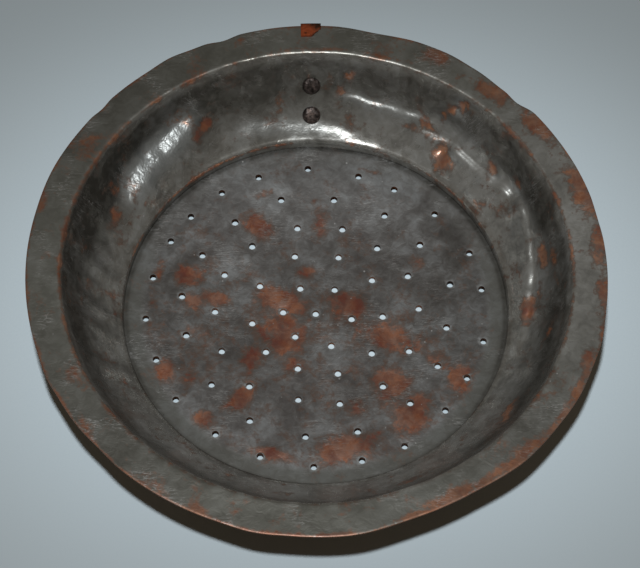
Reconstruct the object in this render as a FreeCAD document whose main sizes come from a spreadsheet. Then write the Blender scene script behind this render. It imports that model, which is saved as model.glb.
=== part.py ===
import FreeCAD, Part
import math
import os
import re

import Sketcher
from FreeCAD import Placement, Rotation, Vector

# An old tinned-copper strainer pan: a bowl-shaped wall with a wide flat rim, a perforated floor soldered in
# below it, and a wire loop to hang it by, in a clip riveted to the wall together with a strap over the rim.
# Millimetres, +Z up. The origin is the middle of the floor's underside, and the loop is on the +Y side.

DRIVING = {
    # wall and rim, one raised sheet of copper
    "rim_diameter": 300.0,
    "rim_width": 18.0,
    "pan_depth": 50.0,
    "wall_radius": 85.0,
    "sheet_gauge": 1.2,
    "crease_bend": 1.3,
    "lip_bend": 0.8,
    "edge_round": 0.4,
    # collar at the foot of the wall, and the floor tray round it
    "collar_diameter": 205.0,
    "collar_height": 5.0,
    "floor_gauge": 1.2,
    "floor_dish": 4.5,
    "floor_flat_diameter": 90.0,
    "seat_width": 3.0,
    "flange_drop": 1.2,
    "flange_bend": 1.0,
    "seam_gap": 0.1,
    "bead_width": 2.2,
    # drain holes, punched by hand on rings
    "hole_diameter": 3.8,
    "hole_pitch": 18.0,
    "hole_margin": 9.0,
    # strap folded over the rim, with its plate on the outside of the wall
    "strap_gauge": 1.5,
    "strap_width": 11.0,
    "hook_length": 7.5,
    "plate_width": 26.0,
    "plate_head": 7.0,
    "plate_tail": 7.5,
    "seat_gap": 0.1,
    # rivets and burrs
    "upper_rivet_drop": 20.0,
    "lower_rivet_drop": 34.2,
    "head_diameter": 10.0,
    "head_height": 2.2,
    "shank_diameter": 4.5,
    "shank_clearance": 0.1,
    "tail_diameter": 7.5,
    "tail_height": 1.8,
    "burr_diameter": 9.5,
    "burr_gauge": 1.2,
    # clip and loop
    "clip_gauge": 1.2,
    "clip_width": 10.5,
    "clip_tail": 8.0,
    "eye_rise": 7.7,
    "eye_clearance": 0.25,
    "loop_wire": 3.5,
    "loop_width": 30.0,
    "loop_drop": 34.0,
    "loop_corner": 4.0,
}

# Drain holes, ring by ring from the inside: the bearing of each in degrees from +X, and how far the hand punch strayed
# outwards from its ring.
HOLE_RINGS = (
    (
        (54, 0), (117, -0.5), (175.5, -0.5), (230, -0.5), (292, 3), (350, 1.5),
    ),
    (
        (33, 1), (69, 1), (106.5, 1), (149.5, -1.5), (188.5, -1.5), (219.5, -1), (252.5, -2), (287, 1.5),
        (320.5, 2), (356.5, 0),
    ),
    (
        (23.5, 1), (49, -1.5), (73, 0), (99.5, -0.5), (129, -0.5), (153.5, 0.5), (178, 0), (203.5, 1),
        (230, 2), (258.5, -2), (282, 1), (308, 2), (334.5, 0.5), (2, 1.5),
    ),
    (
        (12, 2.5), (35, -1.5), (56.5, -1), (80.5, -1.5), (104, 0), (127.5, -1.5), (149.5, -1.5),
        (171.5, 0.5), (190.5, -1.5), (217, -2), (240.5, 1), (264.5, 1.5), (286, 1.5), (311.5, 1), (332.5, 0),
        (351.5, -1.5),
    ),
    (
        (7.5, 0.5), (22, 1), (41.5, -1), (59, -2.5), (73, -2.5), (91.5, -1), (109.5, -1), (124, -0.5),
        (138.5, -0.5), (150.5, -0.5), (166, 0), (182, 1), (198, -0.5), (214.5, 0.5), (233, -0.5), (250, 0),
        (268, 1), (284, 0.5), (299, 1.5), (318, -0.5), (332.5, -1), (347.5, 1),
    ),
)

doc = FreeCAD.newDocument("strainer_pan")
sheet = doc.addObject("Spreadsheet::Sheet", "Dims")
for row, (alias, number) in enumerate(DRIVING.items(), start=1):
    sheet.set(f"A{row}", alias)
    sheet.set(f"B{row}", str(number))
    sheet.setAlias(f"B{row}", alias)
doc.recompute()


def bound(text):
    """An expression in the sheet's words, as the document reads it."""
    return re.sub(r"[a-z_]+", lambda word: f"Dims.{word[0]}" if word[0] in DRIVING else word[0], text)


def amount(text):
    """The number that an expression in the sheet's words comes to."""
    return float(sheet.evalExpression(bound(text)))


# Heights
FLOOR_TOP = "(floor_dish + floor_gauge)"
LIP = f"({FLOOR_TOP} + collar_height)"
FLANGE_TOP = f"({LIP} - flange_drop)"
RIM_TOP = f"({FLOOR_TOP} + pan_depth)"
RIM_UNDER = f"({RIM_TOP} - sheet_gauge)"
UPPER_RIVET = f"({RIM_TOP} - upper_rivet_drop)"
LOWER_RIVET = f"({RIM_TOP} - lower_rivet_drop)"
PLATE_TOP = f"({UPPER_RIVET} + plate_head)"
PLATE_BOTTOM = f"({LOWER_RIVET} - plate_tail)"
CLIP_BOTTOM = f"({UPPER_RIVET} - clip_tail)"
EYE_UP = f"({UPPER_RIVET} + eye_rise)"

# Radii about the pan's axis
RIM = "(rim_diameter / 2)"
CREASE = f"({RIM} - rim_width)"
COLLAR = "(collar_diameter / 2)"
COLLAR_OUT = f"({COLLAR} + sheet_gauge)"
FLANGE_IN = f"({COLLAR_OUT} + seam_gap)"
FLANGE_OUT = f"({FLANGE_IN} + floor_gauge)"
SEAT = f"({COLLAR} - seat_width)"

# The wall's section is an arc from the crease down to the lip. Offsets count outwards from its inner face.
CHORD_ACROSS = f"({CREASE} - {COLLAR})"
CHORD_UP = f"({RIM_TOP} - {LIP})"
CHORD_SQUARED = f"({CHORD_ACROSS}^2 + {CHORD_UP}^2)"
CENTRE_SHARE = f"(sqrt(wall_radius^2 / {CHORD_SQUARED} - 0.25))"
CENTRE_ACROSS = f"(({CREASE} + {COLLAR}) / 2 - {CHORD_UP} * {CENTRE_SHARE})"
CENTRE_UP = f"(({RIM_TOP} + {LIP}) / 2 + {CHORD_ACROSS} * {CENTRE_SHARE})"
WALL_CENTRE = (CENTRE_ACROSS, CENTRE_UP)
STRAP_IN = "(sheet_gauge + seat_gap)"
STRAP_OUT = f"({STRAP_IN} + strap_gauge)"
CLIP_IN = f"({STRAP_OUT} + seat_gap)"
CLIP_OUT = f"({CLIP_IN} + 2 * clip_gauge)"
BEAD_OFFSET = "(sheet_gauge + seam_gap)"

EYE_BORE = "(loop_wire / 2 + eye_clearance)"
EYE_RADIUS = f"({EYE_BORE} + clip_gauge)"


def wall_across(offset, up):
    """Radius of the wall's section at a height."""
    return f"({CENTRE_ACROSS} + sqrt((wall_radius + {offset})^2 - ({up} - {CENTRE_UP})^2))"


def wall_up(offset, across):
    """Height of the wall's section at a radius."""
    return f"({CENTRE_UP} - sqrt((wall_radius + {offset})^2 - ({across} - {CENTRE_ACROSS})^2))"


EYE_ACROSS = wall_across(f"({CLIP_IN} + {EYE_RADIUS})", EYE_UP)


def new_body(label):
    body = doc.addObject("PartDesign::Body", label)
    body.Label = label
    return body


def sketch_on(body, name, role):
    """An empty sketch on one of the body's own origin planes."""
    sketch = body.newObject("Sketcher::SketchObject", name)
    plane = next(item for item in body.Origin.OriginFeatures if item.Role == role)
    sketch.AttachmentSupport = (plane, "")
    sketch.MapMode = "FlatFace"
    return sketch


def tie(sketch, kind, geometry, point, text):
    """Hold one coordinate of a point at an expression in the sheet's words."""
    if text == "0":
        axis = -2 if kind == "DistanceX" else -1
        sketch.addConstraint(Sketcher.Constraint("PointOnObject", geometry, point, axis))
        return
    index = sketch.addConstraint(Sketcher.Constraint(kind, -1, 1, geometry, point, amount(text)))
    sketch.setExpression(f"Constraints[{index}]", bound(text))


def add_outline(sketch, corners, arcs=None):
    """Draw a closed outline through corners given as expressions.

    arcs maps the number of a side to the centre of its arc, with "ccw" or "cw" where it is half a circle.
    """
    arcs = arcs or {}
    places = [Vector(amount(across), amount(up), 0) for across, up in corners]
    sides = []
    for number, start in enumerate(places):
        end = places[(number + 1) % len(places)]
        if number not in arcs:
            sides.append((sketch.addGeometry(Part.LineSegment(start, end)), 1, 2))
            continue
        centre = Vector(amount(arcs[number][0]), amount(arcs[number][1]), 0)
        spokes = [place - centre for place in (start, end)]
        turn = arcs[number][2] if len(arcs[number]) == 3 else ""
        counter = turn == "ccw" or (turn == "" and spokes[0].cross(spokes[1]).z > 0)
        angles = [math.atan2(spoke.y, spoke.x) for spoke in spokes]
        first, last = angles if counter else reversed(angles)
        circle = Part.Circle(centre, Vector(0, 0, 1), spokes[0].Length)
        side = sketch.addGeometry(Part.ArcOfCircle(circle, first, last))
        sides.append((side, 1, 2) if counter else (side, 2, 1))
    for number, (side, start_point, end_point) in enumerate(sides):
        following = sides[(number + 1) % len(sides)]
        sketch.addConstraint(Sketcher.Constraint("Coincident", side, end_point, following[0], following[1]))
        tie(sketch, "DistanceX", side, start_point, corners[number][0])
        tie(sketch, "DistanceY", side, start_point, corners[number][1])
        if number in arcs:
            chord = places[(number + 1) % len(places)] - places[number]
            upright = abs(chord.y) > abs(chord.x)
            tie(sketch, "DistanceX" if upright else "DistanceY", side, 3, arcs[number][0 if upright else 1])


def add_circle(sketch, across, up, radius):
    """Draw a circle whose centre and radius are expressions."""
    place = Vector(amount(across), amount(up), 0)
    circle = sketch.addGeometry(Part.Circle(place, Vector(0, 0, 1), amount(radius)))
    tie(sketch, "DistanceX", circle, 3, across)
    tie(sketch, "DistanceY", circle, 3, up)
    index = sketch.addConstraint(Sketcher.Constraint("Radius", circle, amount(radius)))
    sketch.setExpression(f"Constraints[{index}]", bound(radius))


def turned(body, name, sketch, angle=None):
    """Revolve a sketch about its upright axis: all the way, or by an angle split evenly to both sides."""
    feature = body.newObject("PartDesign::Revolution", name)
    feature.Profile = sketch
    feature.ReferenceAxis = (sketch, ["V_Axis"])
    feature.Angle = 360
    if angle:
        feature.Midplane = True
        feature.setExpression("Angle", bound(angle))
    doc.recompute()
    return feature


def padded(body, name, sketch, width):
    feature = body.newObject("PartDesign::Pad", name)
    feature.Profile = sketch
    feature.SideType = "Symmetric"
    feature.setExpression("Length", bound(width))
    doc.recompute()
    return feature


def cut_through(body, name, sketch):
    """Cut a sketch through the whole body, to both sides of its plane."""
    before = body.Shape.Volume
    feature = body.newObject("PartDesign::Pocket", name)
    feature.Profile = sketch
    feature.SideType = "Symmetric"
    feature.Type = "ThroughAll"
    doc.recompute()
    if body.Shape.Volume >= before:
        raise RuntimeError(f"{name} cuts nothing")
    return feature


def rounded(body, name, radius, rings):
    """Round the ring edges that lie at the given radii and heights."""
    base = body.Tip
    wanted = [(amount(across), amount(up)) for across, up in rings]
    names = []
    for number, edge in enumerate(base.Shape.Edges, start=1):
        point = edge.Vertexes[0].Point
        place = (math.hypot(point.x, point.y), point.z)
        level = abs(edge.BoundBox.ZLength) < edge.Length / 1000
        if level and any(math.dist(place, ring) < 1e-3 for ring in wanted):
            names.append(f"Edge{number}")
    feature = body.newObject("PartDesign::Fillet", name)
    feature.Base = (base, names)
    feature.setExpression("Radius", bound(radius))
    doc.recompute()
    return feature


def wall_frame(up):
    """Frame on the wall's inner face at the loop, at a height, with its Z axis pointing into the pan."""
    place = Vector(0, amount(wall_across("0", up)), amount(up))
    inwards = Vector(0, amount(CENTRE_ACROSS), amount(CENTRE_UP)) - place
    return Placement(place, Rotation(Vector(0, 0, 1), inwards))


def rivet_hole(body, name, up):
    """Drill a body for the rivet at a height on the wall."""
    before = body.Shape.Volume
    hole = body.newObject("PartDesign::SubtractiveCylinder", name)
    hole.setExpression("Radius", bound("shank_diameter / 2 + shank_clearance"))
    hole.setExpression("Height", bound("2 * plate_width"))
    hole.Placement = wall_frame(up) * Placement(Vector(0, 0, -amount("plate_width")), Rotation())
    doc.recompute()
    if body.Shape.Volume >= before:
        raise RuntimeError(f"{name} cuts nothing")


def bowl_wall():
    body = new_body("bowl_wall")
    sketch = sketch_on(body, "wall_section", "XZ_Plane")
    under = (wall_across("sheet_gauge", RIM_UNDER), RIM_UNDER)
    corner = (COLLAR_OUT, wall_up("sheet_gauge", COLLAR_OUT))
    add_outline(
        sketch,
        [
            (RIM, RIM_TOP),
            (CREASE, RIM_TOP),
            (COLLAR, LIP),
            (COLLAR, FLOOR_TOP),
            (COLLAR_OUT, FLOOR_TOP),
            corner,
            under,
            (RIM, RIM_UNDER),
        ],
        {1: WALL_CENTRE, 5: WALL_CENTRE},
    )
    turned(body, "wall_sheet", sketch)
    rounded(body, "crease_top", "crease_bend + sheet_gauge", [(CREASE, RIM_TOP)])
    rounded(body, "crease_under", "crease_bend", [under])
    rounded(body, "lip_top", "lip_bend + sheet_gauge", [(COLLAR, LIP)])
    rounded(body, "lip_under", "lip_bend", [corner])
    rounded(body, "rim_edge", "min(edge_round; sheet_gauge * 0.4)", [(RIM, RIM_TOP), (RIM, RIM_UNDER)])
    rivet_hole(body, "upper_hole", UPPER_RIVET)
    rivet_hole(body, "lower_hole", LOWER_RIVET)
    return body


def hole_places():
    """Centres of the drain holes: one in the middle and rings round it that a hand punch left uneven."""
    places = [Vector(0, 0, 0)]
    reach = amount(f"{COLLAR} - hole_margin")
    for ring, holes in enumerate(HOLE_RINGS, start=1):
        if ring * amount("hole_pitch") > reach:
            break
        for bearing, stray in holes:
            radius = ring * amount("hole_pitch") + stray
            angle = math.radians(bearing)
            places.append(Vector(radius * math.cos(angle), radius * math.sin(angle), 0))
    return places


def strainer_floor():
    body = new_body("strainer_floor")
    sketch = sketch_on(body, "floor_section", "XZ_Plane")
    flat = "(floor_flat_diameter / 2)"
    add_outline(
        sketch,
        [
            ("0", "0"),
            (flat, "0"),
            (SEAT, "floor_dish"),
            (FLANGE_OUT, "floor_dish"),
            (FLANGE_OUT, FLANGE_TOP),
            (FLANGE_IN, FLANGE_TOP),
            (FLANGE_IN, FLOOR_TOP),
            (SEAT, FLOOR_TOP),
            (flat, "floor_gauge"),
            ("0", "floor_gauge"),
        ],
    )
    turned(body, "floor_sheet", sketch)
    rounded(body, "flange_bottom", "min(flange_bend; floor_gauge * 0.9)", [(FLANGE_OUT, "floor_dish")])
    punch = sketch_on(body, "drain_holes", "XY_Plane")
    for number, place in enumerate(hole_places()):
        punch.addGeometry(Part.Circle(place, Vector(0, 0, 1), amount("hole_diameter / 2")))
        if number:
            punch.addConstraint(Sketcher.Constraint("Equal", 0, number))
    size = punch.addConstraint(Sketcher.Constraint("Diameter", 0, amount("hole_diameter")))
    punch.setExpression(f"Constraints[{size}]", bound("hole_diameter"))
    cut_through(body, "punched_holes", punch)
    return body


def seam_solder():
    body = new_body("seam_solder")
    sketch = sketch_on(body, "bead_section", "XZ_Plane")
    inner = f"(({FLANGE_IN} + {FLANGE_OUT}) / 2)"
    outer = f"({FLANGE_OUT} + bead_width)"
    add_outline(
        sketch,
        [
            (inner, f"({FLANGE_TOP} + seam_gap)"),
            (FLANGE_OUT, f"({FLANGE_TOP} + seam_gap)"),
            (outer, wall_up(BEAD_OFFSET, outer)),
            (inner, wall_up(BEAD_OFFSET, inner)),
        ],
        {2: WALL_CENTRE},
    )
    turned(body, "bead", sketch)
    return body


def rim_strap():
    body = new_body("rim_strap")
    sketch = sketch_on(body, "strap_section", "YZ_Plane")
    edge = (RIM, f"({RIM_TOP} - sheet_gauge / 2)")
    below = (f"({RIM_UNDER} - seat_gap)", f"({RIM_UNDER} - seat_gap - strap_gauge)")
    above = (f"({RIM_TOP} + seat_gap)", f"({RIM_TOP} + seat_gap + strap_gauge)")
    hook_end = f"({RIM} - hook_length)"
    bend = (wall_across(STRAP_IN, below[0]), below[0])
    add_outline(
        sketch,
        [
            (wall_across(STRAP_IN, PLATE_BOTTOM), PLATE_BOTTOM),
            bend,
            (RIM, below[0]),
            (RIM, above[0]),
            (hook_end, above[0]),
            (hook_end, above[1]),
            (RIM, above[1]),
            (RIM, below[1]),
            (wall_across(STRAP_OUT, below[1]), below[1]),
            (wall_across(STRAP_OUT, PLATE_BOTTOM), PLATE_BOTTOM),
        ],
        {0: WALL_CENTRE, 2: (*edge, "ccw"), 6: (*edge, "cw"), 8: WALL_CENTRE},
    )
    turned(body, "strap_blank", sketch, f"2 * atan(plate_width / {COLLAR})")
    rounded(body, "strap_bend", "crease_bend + seat_gap", [bend])
    trim_strap(body)
    rivet_hole(body, "upper_hole", UPPER_RIVET)
    rivet_hole(body, "lower_hole", LOWER_RIVET)
    return body


def trim_strap(body):
    """Trim the strap's blank to a narrow tongue above a plate with a round end."""
    half_strap = "(strap_width / 2)"
    half_plate = "(plate_width / 2)"
    shoulder = f"({PLATE_TOP} - {half_plate} + {half_strap})"
    round_end = f"({PLATE_BOTTOM} + {half_plate})"
    tongue_top = f"({RIM_TOP} + plate_width)"
    sketch = sketch_on(body, "strap_outline", "XZ_Plane")
    add_outline(
        sketch,
        [
            (half_plate, round_end),
            (half_plate, shoulder),
            (half_strap, PLATE_TOP),
            (half_strap, tongue_top),
            (f"-{half_strap}", tongue_top),
            (f"-{half_strap}", PLATE_TOP),
            (f"-{half_plate}", shoulder),
            (f"-{half_plate}", round_end),
        ],
        {
            1: (half_strap, shoulder),
            5: (f"-{half_strap}", shoulder),
            7: ("0", round_end, "ccw"),
        },
    )
    scrap_top = f"({RIM_TOP} + 2 * plate_width)"
    scrap_bottom = f"({PLATE_BOTTOM} / 2)"
    add_outline(
        sketch,
        [
            ("2 * plate_width", scrap_bottom),
            ("2 * plate_width", scrap_top),
            ("-2 * plate_width", scrap_top),
            ("-2 * plate_width", scrap_bottom),
        ],
    )
    cut_through(body, "strap_trim", sketch)


def loop_clip():
    body = new_body("loop_clip")
    legs = sketch_on(body, "leg_section", "YZ_Plane")
    add_outline(
        legs,
        [
            (wall_across(CLIP_IN, CLIP_BOTTOM), CLIP_BOTTOM),
            (wall_across(CLIP_IN, EYE_UP), EYE_UP),
            (wall_across(CLIP_OUT, EYE_UP), EYE_UP),
            (wall_across(CLIP_OUT, CLIP_BOTTOM), CLIP_BOTTOM),
        ],
        {0: WALL_CENTRE, 2: WALL_CENTRE},
    )
    padded(body, "legs", legs, "clip_width")
    barrel = sketch_on(body, "barrel_circle", "YZ_Plane")
    add_circle(barrel, EYE_ACROSS, EYE_UP, EYE_RADIUS)
    padded(body, "barrel", barrel, "clip_width")
    bore = sketch_on(body, "bore_circle", "YZ_Plane")
    add_circle(bore, EYE_ACROSS, EYE_UP, EYE_BORE)
    cut_through(body, "bore", bore)
    rivet_hole(body, "upper_hole", UPPER_RIVET)
    return body


def hanging_loop():
    """Closed wire loop, drawn about the middle of its bar and hung straight down from the clip's eye."""
    body = new_body("hanging_loop")
    half = "((loop_width - loop_wire) / 2)"
    bar = f"({half} - loop_corner)"
    bottom = f"(-(loop_drop - {half}))"
    corner = "(-loop_corner)"
    spine = sketch_on(body, "loop_path", "XZ_Plane")
    add_outline(
        spine,
        [
            ("0", "0"),
            (bar, "0"),
            (half, corner),
            (half, bottom),
            (f"-{half}", bottom),
            (f"-{half}", corner),
            (f"-{bar}", "0"),
        ],
        {1: (bar, corner), 3: ("0", bottom, "cw"), 5: (f"-{bar}", corner)},
    )
    section = sketch_on(body, "wire_section", "YZ_Plane")
    add_circle(section, "0", "0", "loop_wire / 2")
    wire = body.newObject("PartDesign::AdditivePipe", "wire")
    wire.Profile = section
    wire.Spine = spine
    body.Placement = Placement(Vector(0, amount(EYE_ACROSS), amount(EYE_UP)), Rotation())
    doc.recompute()
    return body


def rivet(label, up, stack):
    """Rivet with its head inside the pan and its tail peened on a burr, drawn upwards from the tail's tip."""
    body = new_body(label)
    sketch = sketch_on(body, "rivet_section", "XZ_Plane")
    tail_seat = "tail_height"
    wall_face = f"({tail_seat} + seat_gap + burr_gauge + {stack})"
    sag = "(wall_radius - sqrt(wall_radius^2 - (head_diameter / 2)^2))"
    head_seat = f"({wall_face} + {sag} + seat_gap)"
    head_top = f"({head_seat} + head_height)"
    tail_centre = f"({tail_seat} - tail_height / 2 + tail_diameter^2 / (8 * tail_height))"
    head_centre = f"({head_seat} + head_height / 2 - head_diameter^2 / (8 * head_height))"
    add_outline(
        sketch,
        [
            ("0", "0"),
            ("tail_diameter / 2", tail_seat),
            ("shank_diameter / 2", tail_seat),
            ("shank_diameter / 2", head_seat),
            ("head_diameter / 2", head_seat),
            ("0", head_top),
        ],
        {0: ("0", tail_centre), 4: ("0", head_centre)},
    )
    turned(body, "rivet_turned", sketch)
    body.Placement = wall_frame(up) * Placement(Vector(0, 0, -amount(wall_face)), Rotation())
    return body


def burr(label, up, stack):
    """Washer under a rivet's tail."""
    body = new_body(label)
    sketch = sketch_on(body, "burr_section", "XZ_Plane")
    bore = "(shank_diameter / 2 + shank_clearance)"
    add_outline(
        sketch,
        [
            (bore, "0"),
            ("burr_diameter / 2", "0"),
            ("burr_diameter / 2", "burr_gauge"),
            (bore, "burr_gauge"),
        ],
    )
    turned(body, "burr_turned", sketch)
    body.Placement = wall_frame(up) * Placement(Vector(0, 0, -amount(f"{stack} + burr_gauge")), Rotation())
    return body


def check(bodies):
    doc.recompute()
    for item in doc.Objects:
        if any(state in ("Invalid", "Error") for state in item.State):
            raise RuntimeError(f"{item.Label} failed: {item.State}")
    for body in bodies:
        if body.Shape.isNull() or not body.Shape.isValid() or len(body.Shape.Solids) != 1:
            raise RuntimeError(f"{body.Label} is not one valid solid")


def main():
    upper_stack = f"({CLIP_OUT} + seat_gap)"
    lower_stack = f"({STRAP_OUT} + seat_gap)"
    bodies = [
        bowl_wall(),
        strainer_floor(),
        seam_solder(),
        rim_strap(),
        loop_clip(),
        hanging_loop(),
        rivet("upper_rivet", UPPER_RIVET, upper_stack),
        rivet("lower_rivet", LOWER_RIVET, lower_stack),
        burr("upper_burr", UPPER_RIVET, upper_stack),
        burr("lower_burr", LOWER_RIVET, lower_stack),
    ]
    check(bodies)
    os.makedirs("parts", exist_ok=True)
    for body in bodies:
        body.Shape.exportStep(f"parts/{body.Label}.step")
        box = body.Shape.BoundBox
        print(f"{body.Label}: {body.Shape.Volume:.1f} mm3, z {box.ZMin:.2f} to {box.ZMax:.2f}")


main()
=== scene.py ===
import logging
import math
from collections.abc import Iterator, Sequence
from contextlib import contextmanager
from dataclasses import dataclass
from enum import Enum
from typing import TypeVar

import bpy
import numpy as np
from mathutils import Matrix, Vector


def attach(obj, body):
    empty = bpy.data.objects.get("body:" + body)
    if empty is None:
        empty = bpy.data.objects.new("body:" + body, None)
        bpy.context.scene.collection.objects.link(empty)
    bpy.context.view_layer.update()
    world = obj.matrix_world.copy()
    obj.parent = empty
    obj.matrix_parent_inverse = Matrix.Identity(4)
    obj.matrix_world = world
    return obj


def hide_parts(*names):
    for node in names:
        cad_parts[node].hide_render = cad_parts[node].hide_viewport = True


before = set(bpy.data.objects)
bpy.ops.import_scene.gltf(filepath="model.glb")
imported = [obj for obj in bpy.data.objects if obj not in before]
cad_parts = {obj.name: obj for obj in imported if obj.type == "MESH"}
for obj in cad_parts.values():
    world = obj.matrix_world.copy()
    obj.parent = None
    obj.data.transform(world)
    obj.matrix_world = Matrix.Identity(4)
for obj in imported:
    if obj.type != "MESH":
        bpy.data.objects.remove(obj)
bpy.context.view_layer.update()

# An old tinned-copper strainer pan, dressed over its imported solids. Lengths are in metres, +Z is up, and the
# strap and the hanging loop are on the +Y side. Bearings are in degrees from +X, counted towards +Y.

MM = 0.001
DOUBLE = 0.01 * MM
UNTOUCHED = 0.001
LOG = logging.getLogger("strainer_pan")

# Sockets of the mix node that hold its share and its two colours, and the mixed colour.
MIX_COLOUR_INPUTS = (0, 6, 7)
MIX_COLOUR_OUTPUT = 2

Colour = tuple[float, float, float]
Triple = tuple[float, float, float]
Socket = bpy.types.NodeSocket
Feed = float | Sequence[float] | Socket
Kind = TypeVar("Kind")


class Body(Enum):
    """Bodies of the frame that a piece can ride on."""

    PAN = "pan"
    LOOP = "loop"


class Slot(Enum):
    """Material slots of the record."""

    WALL = "tinned_wall"
    FLOOR = "tinned_floor"
    SOLDER = "solder"
    COPPER = "bare_copper"
    WIRE = "iron_wire"
    RIVET = "dark_rivet"


class Mark(Enum):
    """Marks painted on the points of a piece, which its finish reads."""

    BARE = "bare"
    # Sooty grime, and painted shade in creases, corners and on the steep upper wall.
    SOOT = "soot"
    DULL = "dull"
    # Peening, and the painted sheen and painted highlights laid with it where the tin should catch the light.
    PEENED = "peened"


class Grain(Enum):
    """Kinds of unevenness that a hammer or a rough casting leaves."""

    CLOUDS = "CLOUDS"
    FACETS = "VORONOI"


class Way(Enum):
    """Directions in which a surface is pressed."""

    NORMAL = "NORMAL"
    UP = "Z"


def polar(radius: float, bearing: float, height: float) -> Vector:
    """Place at a radius, a bearing and a height."""
    angle = math.radians(bearing)
    return Vector((radius * math.cos(angle), radius * math.sin(angle), height))


def station(radius: float, height: float) -> Vector:
    """Place on the XZ plane, where sections that are turned about the axis are drawn."""
    return Vector((radius, 0.0, height))


def behind(along: float, height: float) -> Vector:
    """Place on the YZ plane, where sections of the strap and the clip are drawn."""
    return Vector((0.0, along, height))


def shares(count: int) -> list[float]:
    """Even shares from 0 to 1, in a number of steps."""
    return [number / count for number in range(count + 1)]


def turns(angle: float, count: int) -> list[float]:
    """Even shares of an angle, from 0 to the whole of it."""
    return [angle * share for share in shares(count)]


def ripple(turn: np.ndarray, waves: Sequence[Triple]) -> np.ndarray:
    """Sum of waves along a turn, each with its size, its pace and its start."""
    return sum(size * np.sin(turn * pace + start) for size, pace, start in waves)


def from_rows(kind: type[Kind], *rows: Sequence[float]) -> tuple[Kind, ...]:
    """Make one thing of a kind from each row of numbers."""
    return tuple(kind(*row) for row in rows)


def ease(values: np.ndarray, start: float, end: float) -> np.ndarray:
    """Rise smoothly from 0 at start to 1 at end, which may also be the lower of the two."""
    share = np.clip((values - start) / (end - start), 0.0, 1.0)
    return share * share * (3.0 - 2.0 * share)


def hump(values: np.ndarray, middle: float, spread: float) -> np.ndarray:
    """Smooth hill of height 1 about a middle."""
    return np.exp(-(((values - middle) / spread) ** 2))


def bearing_gap(bearings: np.ndarray, middle: float) -> np.ndarray:
    """Degrees from a bearing, from -180 to 180."""
    return (bearings - middle + 180.0) % 360.0 - 180.0


@dataclass(frozen=True)
class Lie:
    """Where the points of a piece lie about the pan's axis."""

    across: np.ndarray
    along: np.ndarray
    height: np.ndarray

    @property
    def radius(self) -> np.ndarray:
        """Distance of each point from the axis."""
        return np.hypot(self.across, self.along)

    @property
    def bearing(self) -> np.ndarray:
        """Bearing of each point, from 0 to 360 degrees."""
        return np.degrees(np.arctan2(self.along, self.across)) % 360.0

    def about(self, bearing: float, spread: float) -> np.ndarray:
        """Smooth hill of height 1 about a bearing, with its spread in degrees."""
        return hump(bearing_gap(self.bearing, bearing), 0.0, spread)

    def off(self, place: Vector) -> np.ndarray:
        """Level distance of each point from a place."""
        return np.hypot(self.across - place.x, self.along - place.y)


@dataclass(frozen=True)
class Patch:
    """A place where the tin is worn through, with half its length along the ring and half its breadth."""

    bearing: float
    reach: float
    length: float
    breadth: float
    amount: float = 1.0


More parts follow.
